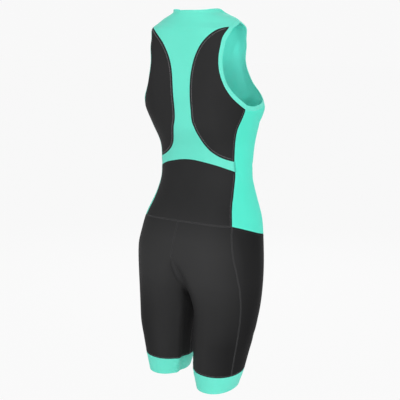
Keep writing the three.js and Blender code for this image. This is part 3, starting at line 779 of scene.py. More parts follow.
@dataclass
class Stitching:
    """Rows of stitches in one thread, gathered into one piece."""

    name: str
    thread: Thread = Thread()
    slant: tuple = (0.25, 0.75)
    spots: list = field(default_factory=list)

    def place(self, centre: np.ndarray, way: np.ndarray, normal: np.ndarray, length: float) -> None:
        """Keeps a run of stitches: middles, directions, normals and one length."""
        self.spots.append((centre, way, normal, length))

    def row(self, points: np.ndarray, normals: np.ndarray) -> None:
        """Adds straight stitches along a line.

        The line is measured by length, and a stitch stands in the middle of each whole pitch.

        Args:
            points: the line's points.
            normals: its outward normals.
        """
        length = length_along(points)
        count = max(2, int(length[-1] / self.thread.pitch))
        ends = np.linspace(0.0, length[-1], count + 1)
        at, up = read_along(ends, length, points), read_along(ends, length, normals)
        pitch = length[-1] / count
        share = self.thread.length / self.thread.pitch
        self.place((at[1:] + at[:-1]) / 2, np.diff(at, axis=0), (up[1:] + up[:-1]) / 2, pitch * share)

    def ladder(self, left: tuple, right: tuple, pitch: float) -> None:
        """Adds threads that cross from one line to the next, slanting by half a pitch.

        Args:
            left: points and normals of a line.
            right: points and normals of the line beside it.
            pitch: how far apart the threads are.
        """
        length = length_along(left[0])
        count = max(2, int(length[-1] / pitch))
        start, end = ((np.arange(count) + part) / count for part in self.slant)
        share = length / length[-1]
        a, b = read_along(start, share, left[0]), read_along(end, share, right[0])
        self.place((a + b) / 2, b - a, read_along(start, share, left[1]), float(length_of(b - a).mean()))

    def build(self) -> bpy.types.Object:
        """Copies the template to every stitch.

        Each copy is turned so that its length lies along the stitch and its rise along the normal.

        Returns:
            The piece's object.
        """
        points, faces, count = [], [], 0
        for centre, way, up, length in self.spots:
            shape, quads, caps = self.thread.template(length)
            along = way / length_of(way)
            across = np.cross(up, along)
            across /= length_of(across)
            rise = np.cross(along, across)
            axes = np.stack([along, across, rise], 1)
            placed = centre[:, None] + np.einsum("kj,njc->nkc", shape, axes)
            start = count + len(shape) * np.arange(len(centre))
            faces += (start[:, None, None] + np.array(quads)[None]).reshape(-1, 4).tolist()
            faces += (start[:, None, None] + np.array(caps)[None]).reshape(-1, self.thread.sides).tolist()
            points.append(placed.reshape(-1, 3))
            count += len(shape) * len(centre)
        return new_mesh(self.name, np.concatenate(points), faces)


class Wire:
    """A number on a node's output. Arithmetic on it adds Math nodes."""

    def __init__(self, sheet: "NodeSheet", socket: bpy.types.NodeSocket) -> None:
        """Keeps the sheet that the nodes go on and the socket that holds the number."""
        self.sheet = sheet
        self.socket = socket

    def _math(self, operation: str, first: object, second: object = 0.0) -> "Wire":
        """Adds a Math node.

        Args:
            operation: the node's operation.
            first: a wire or a number.
            second: a wire or a number.

        Returns:
            The result as a wire.
        """
        return self.sheet.wire("ShaderNodeMath", {"operation": operation}, {0: first, 1: second})

    def __add__(self, other: object) -> "Wire":
        """This plus another."""
        return self._math("ADD", self, other)

    __radd__ = __add__

    def __mul__(self, other: object) -> "Wire":
        """This times another."""
        return self._math("MULTIPLY", self, other)

    __rmul__ = __mul__

    def __sub__(self, other: object) -> "Wire":
        """This less another."""
        return self._math("SUBTRACT", self, other)

    def __rsub__(self, other: object) -> "Wire":
        """Another less this."""
        return self._math("SUBTRACT", other, self)

    def sine(self) -> "Wire":
        """The sine of this."""
        return self._math("SINE", self)

    def size(self) -> "Wire":
        """This without its sign."""
        return self._math("ABSOLUTE", self)

    def within(self, low: float, high: float) -> "Wire":
        """This mapped from between low and high to 0 and 1, and held there."""
        span = {0: self, 1: low, 2: high, 3: 0.0, 4: 1.0}
        return self.sheet.wire("ShaderNodeMapRange", {"clamp": True}, span)


class NodeSheet:
    """A material's nodes, from an empty sheet."""

    def __init__(self, name: str) -> None:
        """Makes a material with no nodes.

        Args:
            name: the material's name.
        """
        self.material = bpy.data.materials.new(name)
        self.material.use_nodes = True
        self.tree = self.material.node_tree
        self.tree.nodes.clear()

    def node(self, kind: str, settings: dict | None = None, inputs: dict | None = None) -> bpy.types.Node:
        """Adds a node.

        Args:
            kind: the node's type.
            settings: its settings, which are set first.
            inputs: values or wires by the socket's name or number.

        Returns:
            The node.
        """
        node = self.tree.nodes.new(kind)
        for key, value in (settings or {}).items():
            setattr(node, key, value)
        for key, value in (inputs or {}).items():
            if isinstance(value, Wire):
                self.tree.links.new(value.socket, node.inputs[key])
            elif isinstance(value, bpy.types.NodeSocket):
                self.tree.links.new(value, node.inputs[key])
            else:
                node.inputs[key].default_value = value
        return node

    def wire(self, kind: str, settings: dict | None = None, inputs: dict | None = None,
             output: int = 0) -> Wire:
        """Adds a node and returns one of its outputs as a wire."""
        return Wire(self, self.node(kind, settings, inputs).outputs[output])

    def noise(self, place: bpy.types.NodeSocket, scale: float, detail: float, roughness: float) -> Wire:
        """Noise round a half, from a Noise Texture node.

        Args:
            place: the socket with the place.
            scale: how many grains lie along a unit.
            detail: how many finer noises are added.
            roughness: how strong the finer ones are.

        Returns:
            The noise as a wire.
        """
        inputs = {"Vector": place, "Scale": scale, "Detail": detail, "Roughness": roughness}
        return self.wire("ShaderNodeTexNoise", None, inputs)

    def blend(self, share: object, first: object, second: object) -> Wire:
        """A colour between two, by a share."""
        settings = {"data_type": "RGBA", "blend_type": "MIX"}
        return self.wire("ShaderNodeMix", settings, {0: share, 6: first, 7: second}, 2)

    def close(self, shader: bpy.types.Node) -> bpy.types.Material:
        """Leads a shader to the material's output and returns the material."""
        self.node("ShaderNodeOutputMaterial", None, {"Surface": shader.outputs[0]})
        return self.material


@dataclass(frozen=True)
class PaintedShading:
    """Painted light and shade on a knit, in place of how the lights fall on it: paler over the seat, deeper
    at the front and sides. Places are in metres.
    """

    painted_light: tuple
    painted_shade: tuple
    seat: tuple = (0.045, 0.1)
    hips: tuple = (0.42, 0.5)
    legs: tuple = (0.6, 0.74)
    sides: tuple = (0.07, 0.12)
    front_start: float = 0.06
    front_depth: float = 0.08
    seat_share: float = 0.7
    front_share: float = 0.75
    side_share: float = 0.4
    leg_share: float = 0.4

    def paint_shading(self, sheet: NodeSheet, place: bpy.types.NodeSocket, color: Wire) -> Wire:
        """Paints light and shade into a colour by where it lies.

        The painted light's share rises with how far back a place lies between the waist and the thighs,
        over the seat that faces the lights. The painted shade's share rises towards the front below the
        waist, and towards the sides, the most on the legs.

        Args:
            sheet: the material's nodes.
            place: the socket with the place.
            color: the knit's colour.

        Returns:
            The colour, changed.
        """
        parts = sheet.node("ShaderNodeSeparateXYZ", None, {0: place})
        x, y, z = (Wire(sheet, parts.outputs[k]) for k in range(3))
        depth_down = 0.0 - z
        below_waist, on_leg = depth_down.within(*self.hips), depth_down.within(*self.legs)
        at_side = x.size().within(*self.sides) * (on_leg * self.leg_share + self.side_share)
        to_front = (self.front_start - y).within(0.0, self.front_depth)
        # painted shade: deeper towards the front below the waist and towards the sides, the most on the legs
        painted_shade = to_front * below_waist * self.front_share + at_side
        # painted light: paler over the seat, between the waist and the thighs
        painted_light = y.within(*self.seat) * below_waist * (1.0 - on_leg) * self.seat_share
        return sheet.blend(painted_light, sheet.blend(painted_shade.within(0.0, 1.0), color, self.painted_shade), self.painted_light)


@dataclass(frozen=True)
class KnitFinish:
    """A smooth elastic knit: fine ribs and loops, slight cloudiness, some light let through and, where it is
    given, painted light and shade.

    Lengths are in metres. The shares of tone add up to a place between dark and light, the shares of
    roughness add to it, and a noise is its scale, detail and roughness.
    """

    name: str
    dark: tuple
    light: tuple
    roughness: float
    specular: float
    through: float
    painted_shading: PaintedShading | None = None
    depth: float = 0.001
    rib: float = 0.00062
    course: float = 0.00048
    relief: float = 0.00006
    rib_height: float = 0.5
    loop_height: float = 0.32
    loop_shift: float = 1.6
    fuzz_height: float = 0.6
    bump: float = 0.35
    cloud_noise: tuple = (9.0, 3.0, 0.55)
    speck_noise: tuple = (420.0, 2.0, 0.6)
    base_tone: float = 0.4
    cloud_tone: float = 0.9
    speck_tone: float = 0.5
    loop_tone: float = 0.22
    cloud_roughness: float = 0.12
    speck_roughness: float = 0.08

    def make(self) -> bpy.types.Material:
        """Makes the material.

        The loops' height is the sum of two sines of the cloth's own lengths, one shifted by the other,
        and the colour lies between dark and light by slow noise, fine noise and the loops.

        Returns:
            The material.
        """
        sheet = NodeSheet(self.name)
        cloth = sheet.node("ShaderNodeUVMap", {"uv_map": "cloth"})
        parts = sheet.node("ShaderNodeSeparateXYZ", None, {0: cloth.outputs[0]})
        u, v = Wire(sheet, parts.outputs[0]), Wire(sheet, parts.outputs[1])
        rib = (u * (2 * math.pi / self.rib)).sine()
        loop = (v * (2 * math.pi / self.course) + rib.size() * self.loop_shift).sine()
        height = rib * self.rib_height + loop * self.loop_height + 0.5
        place = sheet.node("ShaderNodeTexCoord").outputs["Object"]
        cloud = sheet.noise(place, *self.cloud_noise) - 0.5
        speck = sheet.noise(place, *self.speck_noise) - 0.5
        tone = cloud * self.cloud_tone + speck * self.speck_tone + height * self.loop_tone + self.base_tone
        color = sheet.blend(tone.within(0.0, 1.0), self.dark, self.light)
        # painted light and shade, on the finishes that carry it
        if self.painted_shading:
            color = self.painted_shading.paint_shading(sheet, place, color)
        relief = {"Strength": self.bump, "Distance": self.relief, "Height": height + speck * self.fuzz_height}
        shader = sheet.node("ShaderNodeBsdfPrincipled", None, {
            "Base Color": color,
            "Roughness": cloud * self.cloud_roughness + speck * self.speck_roughness + self.roughness,
            "Normal": sheet.node("ShaderNodeBump", None, relief).outputs[0],
            "Specular IOR Level": self.specular,
            "Subsurface Weight": self.through,
            "Subsurface Radius": (1.0, 1.0, 1.0),
            "Subsurface Scale": self.depth,
        })
        return sheet.close(shader)


@dataclass(frozen=True)
class ThreadFinish:
    """A textured sewing thread, a little uneven in tone."""

    name: str
    dark: tuple
    light: tuple
    ply_noise: tuple = (1500.0, 2.0, 0.6)
    ply_range: tuple = (0.3, 0.7)
    relief: float = 0.00005
    bump: float = 0.3
    roughness: float = 0.55
    ply_roughness: float = 0.2
    specular: float = 0.35

    def make(self) -> bpy.types.Material:
        """Makes the material, whose tone follows a fine noise, as twisted plies do.

        Returns:
            The material.
        """
        sheet = NodeSheet(self.name)
        ply = sheet.noise(sheet.node("ShaderNodeTexCoord").outputs["Object"], *self.ply_noise)
        relief = {"Strength": self.bump, "Distance": self.relief, "Height": ply}
        shader = sheet.node("ShaderNodeBsdfPrincipled", None, {
            "Base Color": sheet.blend(ply.within(*self.ply_range), self.dark, self.light),
            "Roughness": ply * self.ply_roughness + self.roughness,
            "Normal": sheet.node("ShaderNodeBump", None, relief).outputs[0],
            "Specular IOR Level": self.specular,
        })
        return sheet.close(shader)


@dataclass(frozen=True)
class MetalFinish:
    """A satin die-cast metal with fine marks and a tone that wanders by noise."""

    name: str
    dark: tuple
    light: tuple
    roughness: float
    mark_scale: tuple = (900, 900, 90)
    mark_noise: tuple = (1.0, 4.0, 0.5)
    wear_noise: tuple = (260.0, 3.0, 0.5)
    wear_share: float = 0.6
    tone_range: tuple = (0.25, 0.75)
    relief: float = 0.00003
    bump: float = 0.2
    mark_roughness: float = 0.2

    def make(self) -> bpy.types.Material:
        """Makes the material, where noise stretched along z gives the polishing marks.

        Returns:
            The material.
        """
        sheet = NodeSheet(self.name)
        place = sheet.node("ShaderNodeTexCoord").outputs["Object"]
        drawn = sheet.node("ShaderNodeMapping", None, {"Vector": place, "Scale": self.mark_scale}).outputs[0]
        marks = sheet.noise(drawn, *self.mark_noise)
        wear = sheet.noise(place, *self.wear_noise)
        tone = (wear * self.wear_share + marks * (1 - self.wear_share)).within(*self.tone_range)
        relief = {"Strength": self.bump, "Distance": self.relief, "Height": marks}
        shader = sheet.node("ShaderNodeBsdfPrincipled", None, {
            "Base Color": sheet.blend(tone, self.dark, self.light),
            "Metallic": 1.0,
            "Roughness": marks * self.mark_roughness + self.roughness,
            "Normal": sheet.node("ShaderNodeBump", None, relief).outputs[0],
        })
        return sheet.close(shader)


def opaque(red: float, green: float, blue: float) -> tuple:
    """An opaque colour."""
    return red, green, blue, 1


@dataclass(frozen=True)
class Finishes:
    """Every finish of the suit, made once."""

    # The mint and front knits are one cloth: the mint knit's paler, less saturated colour on the yoke, bands
    # and bindings is painted sheen, and the front knit's deeper mint is that cloth without it.
    mint: KnitFinish = KnitFinish(
        "mint_knit", opaque(0.094, 0.535, 0.42), opaque(0.113, 0.585, 0.468), 0.6, 0.3, 0.5)
    front: KnitFinish = KnitFinish(
        "mint_front_knit", opaque(0.054, 0.545, 0.415), opaque(0.070, 0.60, 0.46), 0.65, 0.2, 0.5)
    # The inside knit is the mint cloth painted much paler: painted light standing in for the light that
    # reaches the inner faces.
    inside: KnitFinish = KnitFinish(
        "mint_inside_painted_light", opaque(0.17, 0.82, 0.70), opaque(0.21, 0.88, 0.76), 0.8, 0.1, 0.5)
    # The black knit is painted paler over the seat and deeper at the front and sides: painted light and
    # shade.
    black: KnitFinish = KnitFinish(
        "black_knit", opaque(0.0165, 0.0165, 0.0168), opaque(0.0225, 0.0225, 0.023), 0.5, 0.02, 0.0,
        PaintedShading(painted_light=opaque(0.031, 0.031, 0.0315), painted_shade=opaque(0.008, 0.008, 0.0083)))
    mint_thread: ThreadFinish = ThreadFinish(
        "mint_thread", opaque(0.10, 0.60, 0.49), opaque(0.16, 0.76, 0.63))
    seam_thread: ThreadFinish = ThreadFinish(
        "mint_seam_thread", opaque(0.020, 0.17, 0.14), opaque(0.045, 0.26, 0.215))
    grey_thread: ThreadFinish = ThreadFinish(
        "grey_thread", opaque(0.11, 0.11, 0.115), opaque(0.20, 0.20, 0.21))
    dark_thread: ThreadFinish = ThreadFinish(
        "dark_thread", opaque(0.028, 0.028, 0.029), opaque(0.06, 0.06, 0.062))
    black_thread: ThreadFinish = ThreadFinish(
        "black_thread", opaque(0.010, 0.010, 0.010), opaque(0.022, 0.022, 0.023))
    metal: MetalFinish = MetalFinish("zip_metal", opaque(0.36, 0.37, 0.39), opaque(0.62, 0.63, 0.65), 0.28)
    teeth: ThreadFinish = ThreadFinish(
        "zip_teeth_plastic", opaque(0.11, 0.62, 0.51), opaque(0.15, 0.74, 0.61))


def dress(obj: bpy.types.Object, material: bpy.types.Material) -> bpy.types.Object:
    """Gives an object one material.

    Args:
        obj: the object.
        material: its material.

    Returns:
        The object.
    """
    obj.data.materials.clear()
    obj.data.materials.append(material)
    return obj


def line_inside(obj: bpy.types.Object, material: bpy.types.Material) -> None:
    """Gives a shell's inner faces, which a mark on it counts, their own material.

    Args:
        obj: the shell. The mark is taken off.
        material: the material of its inside.
    """
    obj.data.materials.append(material)
    start, end = obj["inner_faces"]
    slots = np.zeros(len(obj.data.polygons), np.int32)
    slots[start:end] = 1
    obj.data.polygons.foreach_set("material_index", slots)
    del obj["inner_faces"]


def kind_of(node: str) -> str:
    """A node's name without its side."""
    return node.removesuffix("_left").removesuffix("_right")


def report(obj: bpy.types.Object) -> None:
    """Logs a piece's name and size."""
    LOG.info("%s: %d vertices, %d faces", obj.name, len(obj.data.vertices), len(obj.data.polygons))


@dataclass(frozen=True)
class FlatCut:
    """A piece's cut of what shows, in metres: width, length and the cloth's own area."""

    width: float
    length: float
    area: float


@dataclass
class Cloth:
    """Cuts, lays and dresses all the sewn pieces of the suit, in millimetres."""

    drape: Drape
    lines: CutLines
    finishes: Finishes
    fine: int = 5
    steps: dict = field(default_factory=lambda: {
        "neck_back": 5, "shoulder": 3, "back": 8, "panel": 5, "armhole_top": 3, "armhole_back": 10,
        "armhole_under": 3, "armhole_front": 12, "side_upper": 7, "side_flare": 2, "side_lower": 6,
        "hip_rows": 4, "leg_rows": 12, "band_rows": 6, "hip_front": 11, "inner_back": 5, "inner_front": 5,
    })
    cuts: dict = field(default_factory=lambda: {
        "back_yoke": FlatCut(0.26, 0.36, 0.0350),
        "back_panel": FlatCut(0.12, 0.33, 0.0220),
        "lower_back": FlatCut(0.252, 0.15, 0.0306),
        "front": FlatCut(0.28, 0.55, 0.0855),
        "armhole_binding": FlatCut(0.01, 0.585, 0.0058),
        "leg_back": FlatCut(0.25, 0.37, 0.0595),
        "leg_front": FlatCut(0.35, 0.37, 0.0862),
        "hem_band": FlatCut(0.374, 0.042, 0.0147),
        "zip_tape": FlatCut(0.012, 0.47, 0.0056),
    })
    binding_width: float = 10.0
    binding_columns: int = 5
    binding_fineness: int = 2
    tape_columns: int = 4
    tape_rows: int = 160
    throat_fade: float = 3.0
    wall: float = 0.6
    walls: dict = field(default_factory=lambda: {"armhole_binding": 1.1, "hem_band": 1.0})
    pieces: dict = field(default_factory=dict)

    def __post_init__(self) -> None:
        """Makes the knits and says which piece is cut of which."""
        self.form = self.drape.form
        finishes = self.finishes
        mint, front, black = finishes.mint.make(), finishes.front.make(), finishes.black.make()
        self.knits = {
            "back_yoke": mint, "hem_band": mint, "armhole_binding": mint, "front": front, "zip_tape": front,
            "back_panel": black, "lower_back": black, "leg_back": black, "leg_front": black,
        }
        self.black = black
        # the mint pieces' inner faces get the inside knit, whose paler colour is painted light
        self.inside = finishes.inside.make()

    def count(self, *names: str) -> int:
        """How many fine steps these edges have together."""
        return self.fine * sum(self.steps[name] for name in names)

    def piece(self, node: str) -> SewnPiece:
        """The piece that stands for a node, made when it is first asked for.

        Args:
            node: the node's name in the frame.

        Returns:
            The piece.
        """
        if node not in self.pieces:
            self.pieces[node] = SewnPiece("cloth_" + node, self.walls.get(kind_of(node), self.wall))
        return self.pieces[node]

    def edge(self, name: str, start: bool = False, end: bool = False, rows: tuple | None = None,
             steps: int | None = None) -> np.ndarray:
        """Places along a named edge, in fine steps.

        Args:
            name: the edge in the seams' lines.
            start: whether the first step is drawn fine.
            end: whether the last step is drawn fine.
            rows: other rows than the named ones.
            steps: another number of steps than the named one.

        Returns:
            The places.
        """
        table = rows if rows is not None else getattr(self.lines, name)
        return along_seam(self.form, table, stations(steps or self.count(name), start, end))

    def cut_back(self) -> None:
        """Cuts the yoke, the two back panels and the lower back.

        The yoke is filled between the neck and a level line at the panels' tips, and from there between
        the spine and the panels' inner edge. A panel runs straight across between its two long edges.
        """
        back = stations(self.count("back"), True, True)
        neck_steps, shoulder_steps = self.count("neck_back"), self.count("shoulder")
        neck = self.edge("neck_back", start=True, steps=neck_steps)
        shoulder = self.edge("shoulder", end=True, steps=shoulder_steps)
        top = joined(neck, shoulder)
        tip = np.array(self.lines.yoke_edge[0], float)
        tip_line = straight([0.0, tip[1]], tip, back)
        rows = stations(self.count("armhole_top"), True, False)
        side = along_seam(self.form, self.lines.armhole_top, rows)
        shoulders = filled(top, tip_line, straight(top[0], tip_line[0], rows), side, back, rows)
        edge_steps = self.count("armhole_back", "side_upper")
        inner_edge = self.edge("yoke_edge", start=True, end=True, steps=edge_steps)
        strip_edge = joined(self.edge("yoke_edge", steps=edge_steps), self.edge("side_flare", end=True))
        arch = along_seam(self.form, self.lines.waist_arch, back)
        down = stations(edge_steps + self.count("side_flare"), False, True)
        corner = [0.0, self.lines.spine_at_flare]
        spine = joined(
            straight(tip_line[0], corner, stations(edge_steps)),
            straight(corner, arch[0], stations(self.count("side_flare"), False, True)),
        )
        strip = filled(tip_line, arch, spine, strip_edge, back, down)
        outer_edge = joined(self.edge("armhole_back", start=True), self.edge("side_upper", end=True))
        across = stations(self.count("panel"), True, True)
        panel = inner_edge[:, None] + (outer_edge - inner_edge)[:, None] * across[None, :, None]
        low = stations(self.count("side_lower"), True, True)
        hip = along_seam(self.form, self.lines.hip_back, back)
        side_lower = self.edge("side_lower", True, True)
        lower = filled(arch, hip, straight(arch[0], hip[0], low), side_lower, back, low)
        for word, side_of in SIDES:
            self.piece("back_yoke").add(Patch.BODY, shoulders, side_of)
            self.piece("back_yoke").add(Patch.BODY, strip, side_of)
            self.piece("back_panel_" + word).add(Patch.BODY, panel, side_of)
            self.piece("lower_back").add(Patch.BODY, lower, side_of)

    def cut_front(self) -> None:
        """Cuts the two fronts and the zip's tape.

        Below a line from the underarm to the zip a front is filled between the side and the zip, and
        above it between the armhole and the zip, where the neck's bends fade fast.
        """
        lines, form = self.lines, self.form
        chest_steps = self.count("hip_front") - self.count("armhole_under")
        neck_rows = lines.to_zip(form, lines.neck_front)
        chest_rows = lines.to_zip(form, lines.chest)
        hip_rows = lines.to_zip(form, lines.hip_front)
        neck_level, chest_level, hip_level = neck_rows[-1][1], chest_rows[-1][1], hip_rows[-1][1]
        across = stations(self.count("hip_front"), True, True)
        under = self.edge("armhole_under", start=True)
        chest = self.edge("chest", end=True, rows=chest_rows, steps=chest_steps)
        side_top, side_foot = self.edge("side_upper", start=True), self.edge("side_lower", end=True)
        side = joined(side_top, self.edge("side_flare"), side_foot)
        down = stations(self.count("side_upper", "side_flare", "side_lower"), True, True)
        hip = along_seam(form, hip_rows, across)
        zip_low = lines.zip_edge(form, chest_level + (hip_level - chest_level) * down)
        lower = filled(joined(under, chest), hip, side, zip_low, across, down)
        shoulder = self.edge("shoulder", end=True)[::-1]
        throat_steps = chest_steps - self.count("shoulder")
        throat = joined(shoulder, self.edge("neck_front", end=True, rows=neck_rows, steps=throat_steps))
        chest_across = stations(chest_steps, True, True)
        chest_top = along_seam(form, chest_rows, chest_across)
        rise = stations(self.count("armhole_front"), True, False)
        armhole = along_seam(form, lines.armhole_front[::-1], rise)
        zip_up = lines.zip_edge(form, neck_level + (chest_level - neck_level) * rise)
        upper = filled(throat, chest_top, armhole, zip_up, chest_across, rise, self.throat_fade)
        half = stations(self.tape_columns, True, False)[None, :, None]
        zip_line = lines.zip_edge(form, np.linspace(neck_level, hip_level, self.tape_rows))
        middle = np.stack([np.full(len(zip_line), 180.0), zip_line[:, 1]], -1)
        tape = zip_line[:, None] + (middle - zip_line)[:, None] * half
        for word, side_of in SIDES:
            self.piece("front_" + word).add(Patch.BODY, lower, side_of)
            self.piece("front_" + word).add(Patch.BODY, upper, side_of)
            self.piece("zip_tape").add(Patch.BODY, tape, side_of)

    def armhole_line(self) -> np.ndarray:
        """The closed armhole seam in fine steps, its shared end left out."""
        names = ("armhole_top", "armhole_back", "armhole_under", "armhole_front")
        seams = [self.edge(name, steps=self.binding_fineness * self.count(name)) for name in names]
        return joined(*seams)[:-1]

    def cut_binding(self) -> None:
        """Cuts the armhole bindings: rings of places beside the armhole seam, from its inside outwards."""
        ring = self.armhole_line()
        shares = stations(self.binding_columns, True, True)[::-1]
        rows = [beside(self.form, Patch.BODY, ring, share * self.binding_width, True) for share in shares]
        band = np.stack([np.concatenate([row, row[:1]]) for row in rows])
        for word, side in SIDES:
            self.piece("armhole_binding_" + word).add(Patch.BODY, band, side)

    def leg_turns(self, level: float, start: bool = True) -> dict:
        """The turns of the leg's columns at a level, for its back and its front piece.

        Args:
            level: the level.
            start: whether the columns at the side seam and the inseam are drawn fine.

        Returns:
            The turns of the back and of the front.
        """
        seam = np.array(self.lines.side_leg, float)
        side = np.interp(-level, -seam[:, 1], seam[:, 0])
        inseam = self.lines.inseam
        lines = {
            "back": ((inseam, 360.0, "inner_back", start, False), (0.0, side, "back", False, start)),
            "front": ((side, 180.0, "hip_front", start, False), (180.0, inseam, "inner_front", False, start)),
        }
        turns = {}
        for part, runs in lines.items():
            made = []
            for low, high, name, first, last in runs:
                steps = self.count(name) + (self.fine if name == "hip_front" else 0)
                made.append(low + (high - low) * stations(steps, first, last))
            turns[part] = np.concatenate([made[0], made[1][1:]])
        return turns

    def leg_grid(self, part: str, levels: np.ndarray) -> np.ndarray:
        """Lays out a leg's back or front piece.

        Args:
            part: the part, back or front.
            levels: the levels of its rows.

        Returns:
            The grid of places.
        """
        rows = []
        for level in levels:
            turns = self.leg_turns(level)[part]
            rows.append(np.stack([turns, np.full(len(turns), level)], -1))
        return np.stack(rows)

    def cut_legs(self) -> None:
        """Cuts the shorts' backs and fronts and the hem bands.

        The upper part is filled between the hip seam and the level where the torso ends, and the leg
        runs on in level rows.
        """
        form, lines = self.form, self.lines
        join = self.leg_turns(form.join)
        inner = self.count("inner_back") + 1
        back_turns = np.concatenate([[0.0], join["back"][inner + 1:]])
        back_join = np.stack([back_turns, np.full(len(back_turns), form.join)], -1)
        across = stations(self.count("back"), False, True)
        rows = stations(self.count("hip_rows"), True, False)
        hip_back = along_seam(form, lines.hip_back, across)
        side_hip = self.edge("side_hip", start=True, steps=self.count("hip_rows"))
        seat = filled(hip_back, back_join, straight(hip_back[0], back_join[0], rows), side_hip, across, rows)
        front_turns = join["front"][: self.count("hip_front") + self.fine + 2]
        front_join = np.stack([front_turns, np.full(len(front_turns), form.join)], -1)
        hip_rows = lines.to_zip(form, lines.hip_front)
        hip_steps = self.count("hip_front")
        hip_front = along_seam(form, hip_rows, stations(hip_steps, True, False))
        to_middle = straight(hip_front[-1], [180.0, hip_front[-1][1]], stations(self.fine))
        hip_top = joined(hip_front, to_middle)
        belly_across = stations(hip_steps + self.fine, True, False)
        middle = straight(hip_top[-1], [180.0, form.join], rows)
        belly = filled(hip_top, front_join, side_hip, middle, belly_across, rows)
        leg_rows = stations(self.count("leg_rows"), False, True)
        band_rows = stations(self.count("band_rows"), True, True)
        leg_levels = form.join + (lines.band_top - form.join) * leg_rows
        band_levels = lines.band_top + (lines.hem - lines.band_top) * band_rows
        for word, side in SIDES:
            self.piece("leg_back_" + word).add(Patch.BODY, seat, side)
            self.piece("leg_front_" + word).add(Patch.BODY, belly, side)
            for part in ("back", "front"):
                self.piece(f"leg_{part}_{word}").add(Patch.LEG, self.leg_grid(part, leg_levels), side)
                self.piece("hem_band_" + word).add(Patch.LEG, self.leg_grid(part, band_levels), side)

    def make(self) -> None:
        """Cuts every piece, builds it, dresses it and puts it in place of its solid."""
        self.cut_back()
        self.cut_front()
        self.cut_binding()
        self.cut_legs()
        for node, piece in self.pieces.items():
            knit, cut = self.knits[kind_of(node)], self.cuts[kind_of(node)]
            obj = dress(piece.build(self.drape), knit)
            line_inside(obj, self.black if knit is self.black else self.inside)
            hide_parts(node)
            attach(obj, "suit")
            report(obj)


@dataclass(frozen=True)
class SewnRow:
    """A row of stitches, or a pair of rows, beside a seam, towards the front where it runs down.

    The trim is how many of the seam's places are left off at its start and at its end.
    """

    piece: Stitching
    kind: StitchKind
    places: np.ndarray
    distance: float = 0.0
    patch: Patch = Patch.BODY
    closed: bool = False
    trim: tuple = (0, 0)


